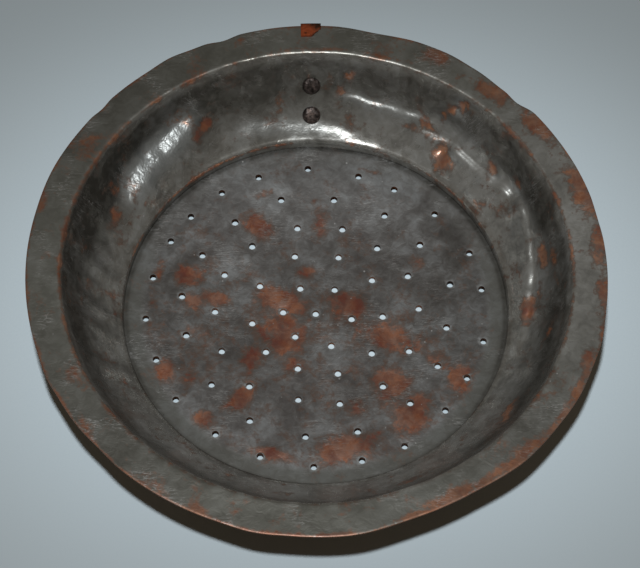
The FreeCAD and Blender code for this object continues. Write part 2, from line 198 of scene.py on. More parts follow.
class Workpiece:
    """A mesh on the bench, shaped with the operators that a hand would use."""

    def __init__(self, obj: bpy.types.Object, name: str, materials: Sequence[bpy.types.Material]) -> None:
        """Take a new object in hand.

        Args:
            obj: The object, as a primitive left it.
            name: The piece's name.
            materials: Finishes, in the order of the piece's slots.
        """
        self.object = obj
        self.object.name = name
        self.object.data.name = name
        for material in materials:
            self.object.data.materials.append(material)
        bpy.ops.object.transform_apply(location=True, rotation=True, scale=True)

    @classmethod
    def point(cls, name: str, place: Vector, *materials: bpy.types.Material) -> "Workpiece":
        """Start a piece as a single point.

        Args:
            name: The piece's name.
            place: Where the point is.
            materials: Finishes of the piece.

        Returns:
            The piece, with its one point selected.
        """
        bpy.ops.object.select_all(action="DESELECT")
        bpy.ops.mesh.primitive_plane_add(size=MM, location=place)
        piece = cls(bpy.context.object, name, materials)
        with piece.editing(select="SELECT"):
            bpy.ops.mesh.merge(type="CENTER")
        return piece

    @classmethod
    def lathe(
        cls, name: str, line: Sequence[Vector], steps: int, *materials: bpy.types.Material
    ) -> "Workpiece":
        """Turn a section about the upright axis.

        Args:
            name: The piece's name.
            line: The section.
            steps: Number of steps round the axis.
            materials: Finishes of the piece.

        Returns:
            The piece.
        """
        piece = cls.point(name, line[0], *materials)
        piece.draw(line)
        piece.turn(steps)
        return piece

    @classmethod
    def block(
        cls, name: str, line: Sequence[Vector], way: Triple, material: bpy.types.Material
    ) -> "Workpiece":
        """Fill an outline and draw it out into a block.

        Args:
            name: The piece's name.
            line: The outline.
            way: How far and which way it is drawn out.
            material: Finish of the piece.

        Returns:
            The piece.
        """
        piece = cls.point(name, line[0], material)
        piece.draw(line)
        with piece.editing(select="SELECT"):
            bpy.ops.mesh.edge_face_add()
            bpy.ops.mesh.extrude_region_move(TRANSFORM_OT_translate={"value": way})
        piece.tidy()
        return piece

    @classmethod
    def ring(
        cls, name: str, place: Vector, radius: float, count: int, *materials: bpy.types.Material
    ) -> "Workpiece":
        """Start a piece as a ring of points that stands across the X axis.

        Args:
            name: The piece's name.
            place: Middle of the ring.
            radius: Radius of the ring.
            count: Number of points.
            materials: Finishes of the piece.

        Returns:
            The piece, with all its points selected.
        """
        bpy.ops.object.select_all(action="DESELECT")
        bpy.ops.mesh.primitive_circle_add(
            vertices=count, radius=radius, location=place, rotation=(0.0, math.pi / 2, 0.0)
        )
        return cls(bpy.context.object, name, materials)

    @contextmanager
    def editing(self, select: str | None = None) -> Iterator[None]:
        """Hold this piece alone in edit mode for a while.

        Args:
            select: SELECT or DESELECT for all points first, or nothing to leave them as they are.

        Yields:
            Nothing.
        """
        self.take()
        bpy.ops.object.mode_set(mode="EDIT")
        bpy.ops.mesh.select_mode(type="VERT")
        if select:
            bpy.ops.mesh.select_all(action=select)
        yield
        bpy.ops.object.mode_set(mode="OBJECT")

    def take(self) -> None:
        """Select this piece alone and make it the active one."""
        bpy.ops.object.select_all(action="DESELECT")
        self.object.select_set(True)
        bpy.context.view_layer.objects.active = self.object

    def draw(self, points: Sequence[Vector]) -> None:
        """Draw a line on from the last point.

        Args:
            points: Places that the line goes through, the first of them where the piece ends now.
        """
        with self.editing():
            for start, end in zip(points, points[1:]):
                bpy.ops.mesh.extrude_vertices_move(TRANSFORM_OT_translate={"value": end - start})

    def turn(self, steps: int, angle: float = math.tau) -> None:
        """Turn the whole line about the upright axis into a surface.

        Args:
            steps: Number of steps.
            angle: Angle of the turn.
        """
        with self.editing(select="SELECT"):
            bpy.ops.mesh.spin(steps=steps, angle=angle, center=(0.0, 0.0, 0.0), axis=(0.0, 0.0, 1.0))
        self.tidy()

    def tidy(self) -> None:
        """Merge doubled points and make the faces agree on which way is out."""
        with self.editing(select="SELECT"):
            bpy.ops.mesh.remove_doubles(threshold=DOUBLE)
            bpy.ops.mesh.normals_make_consistent(inside=False)

    def flip(self) -> None:
        """Turn all faces over."""
        with self.editing(select="SELECT"):
            bpy.ops.mesh.flip_normals()

    def face_up(self) -> None:
        """Turn an open sheet over if its faces look down."""
        if sum(face.normal.z * face.area for face in self.object.data.polygons) < 0.0:
            self.flip()

    def places(self) -> np.ndarray:
        """Places of all the points.

        Returns:
            The places, one row each.
        """
        mesh = self.object.data
        flat = np.empty(3 * len(mesh.vertices))
        mesh.vertices.foreach_get("co", flat)
        return flat.reshape(-1, 3)

    def lie(self) -> Lie:
        """Where the points lie about the pan's axis."""
        return Lie(*self.places().T)

    def choose(self, chosen: np.ndarray) -> None:
        """Select some of the points.

        Args:
            chosen: True for each point that is selected.
        """
        with self.editing(select="DESELECT"):
            pass
        self.object.data.vertices.foreach_set("select", chosen)

    def knock(self, place: Vector, shove: Vector, reach: float) -> None:
        """Shove the point nearest to a place, and drag what is round it along.

        Args:
            place: Where the blow lands.
            shove: How far the point moves.
            reach: How far off the blow is still felt.
        """
        distance = np.linalg.norm(self.places() - np.array(place), axis=1)
        self.choose(np.arange(len(distance)) == distance.argmin())
        with self.editing():
            bpy.ops.transform.translate(
                value=shove,
                use_proportional_edit=True,
                proportional_edit_falloff="SMOOTH",
                proportional_size=reach,
            )

    def apply(self, modifier: bpy.types.Modifier) -> None:
        """Apply a modifier to the mesh."""
        self.take()
        bpy.ops.object.modifier_apply(modifier=modifier.name)

    def press(
        self,
        weights: np.ndarray,
        depth: float,
        size: float = 0.0,
        grain: Grain = Grain.CLOUDS,
        way: Way = Way.NORMAL,
    ) -> None:
        """Press the surface out or in, more where the weights are greater.

        Args:
            weights: Share of the depth at each point, from 0 to 1.
            depth: How far the surface moves, or how deep its unevenness is.
            size: Size of the unevenness, or 0 for an even press.
            grain: Kind of unevenness.
            way: Direction of the press.
        """
        group = self.object.vertex_groups.new(name="press")
        for index in np.flatnonzero(weights > UNTOUCHED):
            group.add([int(index)], float(weights[index]), "REPLACE")
        modifier = self.object.modifiers.new("press", "DISPLACE")
        modifier.vertex_group = group.name
        modifier.direction = way.value
        modifier.strength = depth
        modifier.mid_level = 0.0
        if size:
            texture = bpy.data.textures.new("unevenness", grain.value)
            texture.noise_scale = size
            modifier.texture = texture
            modifier.texture_coords = "LOCAL"
            modifier.mid_level = 0.5
        self.apply(modifier)
        self.object.vertex_groups.clear()

    def thicken(self, gauge: float, outer_slot: int = 0, offset: float = -1.0) -> None:
        """Give a sheet its thickness.

        Args:
            gauge: Thickness.
            outer_slot: How many material slots further on the new side and the edges are.
            offset: -1 to lay it behind the side that the faces show, or 0 to lay half of it on each side.
        """
        modifier = self.object.modifiers.new("thickness", "SOLIDIFY")
        modifier.thickness = gauge
        modifier.offset = offset
        modifier.use_even_offset = True
        modifier.use_quality_normals = offset != 0.0
        modifier.material_offset = outer_slot
        modifier.material_offset_rim = outer_slot
        self.apply(modifier)

    def round_edges(self, width: float, sharp: float = 50.0, segments: int = 2) -> None:
        """Round the edges that are sharper than an angle.

        Args:
            width: Width of the rounding.
            sharp: Smallest angle between faces, in degrees, that is rounded.
            segments: Number of faces across the rounding.
        """
        modifier = self.object.modifiers.new("rounding", "BEVEL")
        modifier.width = width
        modifier.segments = segments
        modifier.limit_method = "ANGLE"
        modifier.angle_limit = math.radians(sharp)
        modifier.use_clamp_overlap = True
        self.apply(modifier)

    def cut(self, tool: "Workpiece", keep_inside: bool = False) -> None:
        """Cut with another piece, which is used up.

        Args:
            tool: The piece that cuts.
            keep_inside: Keep what lies inside the tool and not what lies outside.
        """
        modifier = self.object.modifiers.new("cut", "BOOLEAN")
        modifier.operation = "INTERSECT" if keep_inside else "DIFFERENCE"
        modifier.solver = "EXACT"
        modifier.object = tool.object
        self.apply(modifier)
        bpy.data.objects.remove(tool.object)

    def move_to(self, place: Matrix) -> None:
        """Carry the piece to its place and leave its object at the origin.

        Args:
            place: The place, as a frame.
        """
        self.object.matrix_world = place
        self.take()
        bpy.ops.object.transform_apply(location=True, rotation=True, scale=True)

    def paint(self, mark: Mark, amounts: np.ndarray) -> None:
        """Paint a mark on the points, from 0 to 1."""
        layer = self.object.data.attributes.new(mark.value, "FLOAT", "POINT")
        layer.data.foreach_set("value", np.clip(amounts, 0.0, 1.0).astype(np.float32))

    def settle(self, body: Body, node: str, sharp: float = 40.0) -> None:
        """Shade the piece, and put it in the frame in place of a solid.

        Args:
            body: Body that the piece rides on.
            node: Solid that it stands for.
            sharp: Smallest angle between faces, in degrees, that shows as an edge.
        """
        self.take()
        bpy.ops.object.shade_smooth_by_angle(angle=math.radians(sharp))
        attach(self.object, body.value)
        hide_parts(node)
        LOG.info("%s: %d faces, rides on %s", self.object.name, len(self.object.data.polygons), body.value)


class Recipe:
    """Nodes of one finish or effect, linked as they are laid."""

    def __init__(self, tree: bpy.types.NodeTree) -> None:
        """Start with an empty tree."""
        self.tree = tree
        self.tree.nodes.clear()

    def feed(self, socket: Socket, value: Feed) -> None:
        """Link a socket, or set its value.

        Args:
            socket: The socket.
            value: Another socket, or a plain value.
        """
        if isinstance(value, Socket):
            self.tree.links.new(value, socket)
        else:
            socket.default_value = value

    def lay(
        self, kind: str, inputs: dict[str | int, Feed] | None = None, **settings: object
    ) -> bpy.types.Node:
        """Lay a node.

        Args:
            kind: Kind of node.
            inputs: What its sockets get, by name or number.
            settings: Settings of the node.

        Returns:
            The node.
        """
        node = self.tree.nodes.new(kind)
        for name, setting in settings.items():
            setattr(node, name, setting)
        for name, value in (inputs or {}).items():
            self.feed(node.inputs[name], value)
        return node

    def place(self) -> Socket:
        """Places on the piece, in metres."""
        return self.lay("ShaderNodeTexCoord").outputs["Object"]

    def mark(self, mark: Mark) -> Socket:
        """A mark that is painted on the piece."""
        return self.lay("ShaderNodeAttribute", attribute_name=mark.value).outputs["Fac"]

    def reckon(self, operation: str, *values: Feed, clamp: bool = False) -> Socket:
        """Reckon with up to three values.

        Args:
            operation: Name of the operation.
            values: Values that it takes.
            clamp: Keep the result between 0 and 1.

        Returns:
            The result.
        """
        node = self.lay("ShaderNodeMath", dict(enumerate(values)), operation=operation, use_clamp=clamp)
        return node.outputs[0]

    def times(self, value: Feed, factor: Feed) -> Socket:
        """Multiply a value."""
        return self.reckon("MULTIPLY", value, factor)

    def less(self, value: Feed, taken: Feed, clamp: bool = False) -> Socket:
        """Take something from a value."""
        return self.reckon("SUBTRACT", value, taken, clamp=clamp)

    def add(self, base: Feed, *parts: tuple[Feed, Feed]) -> Socket:
        """Add parts to a base.

        Args:
            base: The base.
            parts: Values, each with its weight.

        Returns:
            The sum.
        """
        for value, weight in parts:
            base = self.reckon("MULTIPLY_ADD", value, weight, base)
        return base

    def blend(self, broad: Feed, fine: Feed, fine_share: float) -> Socket:
        """Blend a broad and a fine tone."""
        return self.add(self.times(broad, 1.0 - fine_share), (fine, fine_share))

    def span(self, value: Feed, low: float, high: float, start: float = 0.0, end: float = 1.0) -> Socket:
        """Spread a part of a value's range smoothly over another range.

        Args:
            value: The value.
            low: Where the part begins.
            high: Where the part ends.
            start: Result at low and below.
            end: Result at high and above.

        Returns:
            The result.
        """
        inputs = {"Value": value, "From Min": low, "From Max": high, "To Min": start, "To Max": end}
        return self.lay("ShaderNodeMapRange", inputs, interpolation_type="SMOOTHSTEP").outputs["Result"]

    def mix(self, share: Feed, first: Feed, second: Feed) -> Socket:
        """Mix two colours.

        Args:
            share: Share of the second colour.
            first: The first colour.
            second: The second colour.

        Returns:
            The mixed colour.
        """
        paints = [(*paint, 1.0) if isinstance(paint, tuple) else paint for paint in (first, second)]
        node = self.lay("ShaderNodeMix", data_type="RGBA")
        for number, value in zip(MIX_COLOUR_INPUTS, (share, *paints)):
            self.feed(node.inputs[number], value)
        return node.outputs[MIX_COLOUR_OUTPUT]

    def coat(self, colour: Feed, *coats: tuple[Feed, float, Feed]) -> Socket:
        """Lay coats over a colour, one after the other.

        Args:
            colour: The colour below.
            coats: Masks, each with its strength and its own colour.

        Returns:
            The colour on top.
        """
        for mask, strength, paint in coats:
            colour = self.mix(self.times(mask, strength), colour, paint)
        return colour

    def ramp(self, value: Feed, stops: Sequence[tuple[float, Colour]]) -> Socket:
        """Turn a value into colours.

        Args:
            value: The value.
            stops: Values from low to high, each with its colour.

        Returns:
            The colour.
        """
        node = self.lay("ShaderNodeValToRGB", {"Fac": value})
        elements = node.color_ramp.elements
        while len(elements) < len(stops):
            elements.new(0.5)
        for element, (position, colour) in zip(elements, stops):
            element.position = position
            element.color = (*colour, 1.0)
        return node.outputs["Color"]

    def noise(
        self, place: Feed, scale: Feed, detail: float = 4.0, rough: float = 0.55, warp: float = 0.0
    ) -> Socket:
        """Cloudy noise.

        Args:
            place: Places.
            scale: Number of clouds per metre.
            detail: How many finer layers there are.
            rough: Weight of the finer layers.
            warp: How far the clouds are drawn out of shape.

        Returns:
            The noise, from 0 to 1.
        """
        inputs = {"Vector": place, "Scale": scale, "Detail": detail, "Roughness": rough, "Distortion": warp}
        return self.lay("ShaderNodeTexNoise", inputs).outputs[0]

    def bump(self, height: Feed, depth: float) -> Socket:
        """Surface normals of a fine relief of a depth."""
        inputs = {"Height": height, "Strength": 1.0, "Distance": depth}
        return self.lay("ShaderNodeBump", inputs).outputs["Normal"]

    def finish(self, colour: Feed, roughness: Feed, normal: Feed, metallic: float) -> None:
        """Lay the metal shader and the output.

        Args:
            colour: Base colour.
            roughness: Roughness.
            normal: Surface normals.
            metallic: Share of clean metal.
        """
        inputs = {"Base Color": colour, "Roughness": roughness, "Normal": normal, "Metallic": metallic}
        shader = self.lay("ShaderNodeBsdfPrincipled", inputs)
        self.lay("ShaderNodeOutputMaterial", {"Surface": shader.outputs["BSDF"]})


class Effect(Enum):
    """Effects that several finishes share, each a node group."""

    WORN_THROUGH = "worn_through"
    CLOUDING = "clouding"
    PITTING = "pitting"
    SCRATCHES = "scratches"
    HAMMERING = "hammering"


class EffectShelf:
    """Keeps the shared effects, each made once."""

    def __init__(self) -> None:
        """Make every effect."""
        self.trees = {
            Effect.WORN_THROUGH: self.worn_through(),
            Effect.CLOUDING: self.clouding(),
            Effect.PITTING: self.pitting(),
            Effect.SCRATCHES: self.scratches(),
            Effect.HAMMERING: self.hammering(),
        }

    def use(self, recipe: Recipe, effect: Effect, place: Feed, **amounts: Feed) -> bpy.types.Node:
        """Place an effect in a finish.

        Args:
            recipe: The finish.
            effect: The effect.
            place: Places on the piece.
            amounts: Values of its other inputs.

        Returns:
            The effect's node.
        """
        inputs = {"Place": place} | {name.capitalize(): amount for name, amount in amounts.items()}
        return recipe.lay("ShaderNodeGroup", inputs, node_tree=self.trees[effect])

    def tone(self, recipe: Recipe, place: Feed, scale: float) -> Socket:
        """Uneven tone, with a number of clouds per metre."""
        return self.use(recipe, Effect.CLOUDING, place, scale=scale).outputs["Tone"]

    def pits(self, recipe: Recipe, place: Feed, scale: float, amount: float) -> Socket:
        """Mask of pits, with a number of chances per metre and the share that is taken."""
        return self.use(recipe, Effect.PITTING, place, scale=scale, amount=amount).outputs["Mask"]

    def hammer(self, recipe: Recipe, place: Feed, size: float) -> Socket:
        """Height of hammer marks of a size."""
        return self.use(recipe, Effect.HAMMERING, place, scale=1.0 / size).outputs["Height"]

    @staticmethod
    def start(
        effect: Effect, amounts: Sequence[str], results: Sequence[str]
    ) -> tuple[Recipe, bpy.types.Node, bpy.types.Node]:
        """Start an effect's group.

        Args:
            effect: The effect.
            amounts: Names of its inputs beside the place.
            results: Names of its outputs.

        Returns:
            The group's recipe, its input node and its output node.
        """
        tree = bpy.data.node_groups.new(effect.value, "ShaderNodeTree")
        tree.interface.new_socket("Place", in_out="INPUT", socket_type="NodeSocketVector")
        for name in amounts:
            tree.interface.new_socket(name, in_out="INPUT", socket_type="NodeSocketFloat")
        for name in results:
            tree.interface.new_socket(name, in_out="OUTPUT", socket_type="NodeSocketFloat")
        recipe = Recipe(tree)
        return recipe, recipe.lay("NodeGroupInput"), recipe.lay("NodeGroupOutput")

    def worn_through(self) -> bpy.types.NodeTree:
        """Ragged patches where the tin is gone, and the thin brown fringe round them.

        Returns:
            The group.
        """
        amounts = ["Coverage", "Scale", "Ragged"]
        recipe, given, result = self.start(Effect.WORN_THROUGH, amounts, ["Mask", "Fringe"])
        place, coverage, scale, ragged = (given.outputs[name] for name in ("Place", *amounts))
        broad = recipe.less(recipe.noise(place, scale, 6.0, 0.62, 0.4), 0.5)
        fine = recipe.less(recipe.noise(place, recipe.times(scale, 5.3), 4.0, 0.6), 0.5)
        level = recipe.add(coverage, (recipe.add(broad, (fine, 0.55)), ragged))
        thin = recipe.noise(place, recipe.times(scale, 2.1), 5.0, 0.6)
        mask = recipe.times(recipe.span(level, 0.42, 0.70), recipe.span(thin, 0.3, 0.7, 0.55, 1.0))
        fringe = recipe.less(recipe.span(level, 0.16, 0.50), mask, clamp=True)
        recipe.feed(result.inputs["Mask"], mask)
        recipe.feed(result.inputs["Fringe"], fringe)
        return recipe.tree

    def clouding(self) -> bpy.types.NodeTree:
        """Uneven tone of old metal, from dark to light.

        Returns:
            The group.
        """
        recipe, given, result = self.start(Effect.CLOUDING, ["Scale"], ["Tone"])
        noise = recipe.noise(given.outputs["Place"], given.outputs["Scale"], 6.0, 0.6, 0.7)
        recipe.feed(result.inputs["Tone"], recipe.span(noise, 0.28, 0.72))
        return recipe.tree

    def pitting(self) -> bpy.types.NodeTree:
        """Small pits and specks, some places full of them and others clear.

        Returns:
            The group.
        """
        recipe, given, result = self.start(Effect.PITTING, ["Scale", "Amount"], ["Mask"])
        place, scale, amount = (given.outputs[name] for name in ("Place", "Scale", "Amount"))
        cells = recipe.lay("ShaderNodeTexVoronoi", {"Vector": place, "Scale": scale})
        chance = recipe.lay("ShaderNodeSeparateColor", {"Color": cells.outputs["Color"]}).outputs[0]
        size = recipe.times(recipe.less(amount, chance, clamp=True), 0.9)
        spot = recipe.span(recipe.less(size, cells.outputs["Distance"]), 0.0, 0.12)
        recipe.feed(result.inputs["Mask"], spot)
        return recipe.tree

    def scratches(self) -> bpy.types.NodeTree:
        """Fine broken scratches in two directions.

        Returns:
            The group.
        """
        recipe, given, result = self.start(Effect.SCRATCHES, ["Scale"], ["Mask"])
        place, scale = given.outputs["Place"], given.outputs["Scale"]
        layers = []
        for turn, stretch in ((0.5, 9.0), (1.9, 7.0)):
            drawn_out = {"Vector": place, "Rotation": (0.0, 0.0, turn), "Scale": (1.0, stretch, 1.0)}
            turned = recipe.lay("ShaderNodeMapping", drawn_out).outputs["Vector"]
            line = recipe.reckon("ABSOLUTE", recipe.less(recipe.noise(turned, scale, 2.0, 0.5, 0.3), 0.5))
            layers.append(recipe.span(line, 0.02, 0.0))
        broken = recipe.span(recipe.noise(place, recipe.times(scale, 0.6), 2.0), 0.5, 0.66)
        either = recipe.reckon("MAXIMUM", *layers)
        recipe.feed(result.inputs["Mask"], recipe.times(either, broken))
        return recipe.tree

    def hammering(self) -> bpy.types.NodeTree:
        """Shallow overlapping hammer marks.

        Returns:
            The group.
        """
        recipe, given, result = self.start(Effect.HAMMERING, ["Scale"], ["Height"])
        inputs = {"Vector": given.outputs["Place"], "Scale": given.outputs["Scale"], "Smoothness": 0.6}
        cells = recipe.lay("ShaderNodeTexVoronoi", inputs, feature="SMOOTH_F1")
        recipe.feed(result.inputs["Height"], cells.outputs["Distance"])
        return recipe.tree


def new_material(name: str) -> tuple[bpy.types.Material, Recipe]:
    """Start a finish.

    Args:
        name: Name of the material.

    Returns:
        The material, and the recipe of its nodes.
    """
    material = bpy.data.materials.new(name)
    material.use_nodes = True
    return material, Recipe(material.node_tree)


@dataclass(frozen=True)
class Finish:
    """A finish that is reckoned from places on the piece and the marks that are painted on it."""

    name: str

    def make(self, effects: EffectShelf) -> bpy.types.Material:
        """Make the material.

        Args:
            effects: Shared effects.

        Returns:
            The material.
        """
        material, recipe = new_material(self.name)
        self.lay(recipe, recipe.place(), effects)
        return material

    def lay(self, recipe: Recipe, place: Socket, effects: EffectShelf) -> None:
        """Lay the finish's nodes.

        Args:
            recipe: Recipe of the material.
            place: Places on the piece.
            effects: Shared effects.
        """
        raise NotImplementedError


@dataclass(frozen=True)
class WornTin(Finish):
    """Tin wiped over copper, dull and sooty with age and worn through to the copper in patches, with painted
    shade laid in its sooty coat and a painted sheen laid where it is hammered.
    """

    dark: Colour
    middle: Colour
    light: Colour
    # Dark of the sooty grime and of the painted shade.
    soot: Colour = (0.028, 0.027, 0.022)
    dulled: Colour = (0.067, 0.070, 0.060)
    # Light bluish tin, laid where the tin is hammered bright and as a painted sheen and painted highlights.
    rubbed_and_sheen: Colour = (0.39, 0.43, 0.44)
    copper_red: Colour = (0.20, 0.060, 0.036)
    copper_brown: Colour = (0.27, 0.102, 0.047)
    copper_light: Colour = (0.42, 0.178, 0.078)
    copper_dulled: Colour = (0.102, 0.039, 0.019)
    fringe: Colour = (0.105, 0.066, 0.048)
    pit: Colour = (0.022, 0.020, 0.018)
    scratch: Colour = (0.36, 0.37, 0.37)
    broad_clouds: float = 38.0
    fine_clouds: float = 190.0
    fine_share: float = 0.45
    pit_scale: float = 420.0
    pits: float = 0.2
    speck_scale: float = 260.0
    specks: float = 0.16
    scratch_scale: float = 85.0
    patch_size: float = 14.0 * MM
    ragged: float = 2.3
    dull_dark: float = 0.82
    dull_copper: float = 0.72
    clean_film: float = 0.62
    # Share of that light tin where the peening mark is painted.
    rubbed_and_sheen_share: float = 0.5
    fringe_cover: float = 0.7
    copper_cover: float = 0.88
    scratch_cover: float = 0.4
    speck_cover: float = 0.8
    pit_cover: float = 0.6
    metal: float = 0.55
    gloss_rough: float = 0.16
    cloud_rough: float = 0.10
    dull_rough: float = 0.26
    pit_rough: float = 0.2
    copper_rough: float = -0.06
    peen_rough: float = 0.17
    fine_relief: float = 0.30
    copper_relief: float = -0.05
    pit_relief: float = -0.22
    hammer_size: float = 8.0 * MM
    relief: float = 0.2 * MM
    peen_size: float = 5.6 * MM
    peen_depth: float = 1.5 * MM

    def lay(self, recipe: Recipe, place: Socket, effects: EffectShelf) -> None:
        """Lay the finish's nodes.

        Args:
            recipe: Recipe of the material.
            place: Places on the piece.
            effects: Shared effects.
        """
        worn = effects.use(
            recipe,
            Effect.WORN_THROUGH,
            place,
            coverage=recipe.mark(Mark.BARE),
            scale=1.0 / self.patch_size,
            ragged=self.ragged,
        )
        bare = worn.outputs["Mask"]
        dull, peened = recipe.mark(Mark.DULL), recipe.mark(Mark.PEENED)
        broad = effects.tone(recipe, place, self.broad_clouds)
        fine = effects.tone(recipe, place, self.fine_clouds)
        pits = effects.pits(recipe, place, self.pit_scale, self.pits)
        specks = effects.pits(recipe, place, self.speck_scale, self.specks)
        scratch = effects.use(recipe, Effect.SCRATCHES, place, scale=self.scratch_scale).outputs["Mask"]
        tone = recipe.blend(broad, fine, self.fine_share)
        copper_stops = [(0.2, self.copper_red), (0.5, self.copper_brown), (0.8, self.copper_light)]
        copper = recipe.coat(recipe.ramp(tone, copper_stops), (dull, self.dull_copper, self.copper_dulled))
        colour = recipe.coat(
            self.tin(recipe, tone, dull, peened),
            (worn.outputs["Fringe"], self.fringe_cover, self.fringe),
            (bare, self.copper_cover, copper),
            (scratch, self.scratch_cover, self.scratch),
            (specks, self.speck_cover, self.scratch),
            (pits, self.pit_cover, self.pit),
        )
        rough = recipe.add(
            self.gloss_rough,
            (broad, self.cloud_rough),
            (dull, self.dull_rough),
            (pits, self.pit_rough),
            (bare, self.copper_rough),
            (peened, self.peen_rough),
        )
        blows = recipe.noise(place, 1.0 / self.peen_size, 3.0, 0.6, 0.3)
        height = recipe.add(
            effects.hammer(recipe, place, self.hammer_size),
            (fine, self.fine_relief),
            (bare, self.copper_relief),
            (pits, self.pit_relief),
            (recipe.times(blows, self.peen_depth / self.relief), recipe.times(peened, peened)),
        )
        recipe.finish(colour, rough, recipe.bump(height, self.relief), self.metal)

    def tin(self, recipe: Recipe, tone: Socket, dull: Socket, peened: Socket) -> Socket:
        """Colour of the tin, under its sooty coat with painted shade, and lightened where it is hammered or
        given a painted sheen.

        Args:
            recipe: Recipe of the material.
            tone: Uneven tone.
            dull: Where the tin is dull.
            peened: Where it is hammered, or given a painted sheen or painted highlight.

        Returns:
            The colour.
        """
        darkening = recipe.times(recipe.mark(Mark.SOOT), recipe.span(tone, 0.0, 1.0, 1.0, self.clean_film))
        return recipe.coat(
            recipe.ramp(tone, [(0.05, self.dark), (0.5, self.middle), (0.95, self.light)]),
            (dull, self.dull_dark, self.dulled),
            (darkening, 1.0, self.soot),
            (peened, self.rubbed_and_sheen_share, self.rubbed_and_sheen),
        )


@dataclass(frozen=True)
class RoughMetal(Finish):
    """Dull metal with an uneven tone and a rough skin, such as forged iron or solder."""

    dark: Colour
    middle: Colour
    light: Colour
    rough: float
    pits: float
    lump_size: float = 3.0 * MM
    relief: float = 0.3 * MM
    broad_clouds: float = 110.0
    fine_clouds: float = 520.0
    fine_share: float = 0.5
    pit_scale: float = 700.0
    pit_dark: float = 0.6
    light_stop: float = 0.9
    warmth: float = 0.0
    fine_rough: float = 0.18
    fine_relief: float = 0.25
    pit_relief: float = -0.3
    metal: float = 0.8

    def lay(self, recipe: Recipe, place: Socket, effects: EffectShelf) -> None:
        """Lay the finish's nodes.

        Args:
            recipe: Recipe of the material.
            place: Places on the piece.
            effects: Shared effects.
        """
        broad = effects.tone(recipe, place, self.broad_clouds)
        fine = effects.tone(recipe, place, self.fine_clouds)
        pits = effects.pits(recipe, place, self.pit_scale, self.pits)
        lumps = effects.hammer(recipe, place, self.lump_size)
        tone = recipe.blend(broad, fine, self.fine_share)
        if self.warmth:
            tone = recipe.add(tone, (recipe.mark(Mark.BARE), self.warmth))
        colour = recipe.ramp(tone, [(0.15, self.dark), (0.5, self.middle), (self.light_stop, self.light)])
        colour = recipe.coat(colour, (pits, self.pit_dark, self.dark))
        rough = recipe.add(self.rough, (fine, self.fine_rough))
        height = recipe.add(lumps, (fine, self.fine_relief), (pits, self.pit_relief))
        recipe.finish(colour, rough, recipe.bump(height, self.relief), self.metal)


@dataclass(frozen=True)
class OldCopper(RoughMetal):
    """Copper that is browned and blackened by the fire, with warmer metal where it is handled."""

    dark: Colour = (0.030, 0.019, 0.014)
    middle: Colour = (0.120, 0.057, 0.033)
    light: Colour = (0.28, 0.125, 0.066)
    rough: float = 0.44
    pits: float = 0.4
    lump_size: float = 9.0 * MM
    relief: float = 0.4 * MM
    broad_clouds: float = 32.0
    fine_clouds: float = 210.0
    fine_share: float = 0.4
    pit_scale: float = 320.0
    light_stop: float = 0.95
    warmth: float = 0.5
    fine_rough: float = 0.16
    fine_relief: float = 0.12
    pit_relief: float = -0.2
    metal: float = 0.85


@dataclass(frozen=True)
class Finishes:
    """All the finishes of the pan."""

    wall: bpy.types.Material
    floor: bpy.types.Material
    outside: bpy.types.Material
    strap: bpy.types.Material
    solder: bpy.types.Material
    wire: bpy.types.Material
    rivet: bpy.types.Material

    @classmethod
    def mix(cls) -> "Finishes":
        """Make every finish once.

        Returns:
            The finishes.
        """
        effects = EffectShelf()
        recipes = {
            "wall": WornTin(
                "worn_tin_wall", (0.098, 0.094, 0.083), (0.194, 0.194, 0.179), (0.275, 0.284, 0.276)
            ),
            "floor": WornTin(
                "worn_tin_floor",
                (0.081, 0.077, 0.075),
                (0.130, 0.131, 0.130),
                (0.200, 0.213, 0.219),
                copper_red=(0.165, 0.043, 0.025),
                copper_brown=(0.210, 0.070, 0.032),
                copper_light=(0.290, 0.110, 0.049),
                ragged=1.6,
                gloss_rough=0.36,
                dull_dark=0.75,
                specks=0.22,
                hammer_size=11.0 * MM,
                relief=0.25 * MM,
            ),
            "outside": OldCopper("fire_browned_copper"),
            "strap": OldCopper(
                "strap_copper",
                (0.025, 0.016, 0.011),
                (0.062, 0.032, 0.020),
                (0.34, 0.080, 0.030),
                rough=0.38,
                lump_size=5.0 * MM,
                relief=0.25 * MM,
            ),
            "solder": RoughMetal(
                "dull_solder", (0.07, 0.07, 0.068), (0.17, 0.17, 0.165), (0.29, 0.29, 0.285),
                rough=0.42, pits=0.35,
            ),
            "wire": RoughMetal(
                "forged_wire", (0.020, 0.018, 0.017), (0.060, 0.053, 0.048), (0.13, 0.095, 0.072),
                rough=0.42, pits=0.45,
            ),
            "rivet": RoughMetal(
                "dark_rivet_iron", (0.020, 0.017, 0.016), (0.080, 0.066, 0.062), (0.21, 0.160, 0.140),
                rough=0.36, pits=0.5,
            ),
        }
        return cls(**{name: finish.make(effects) for name, finish in recipes.items()})


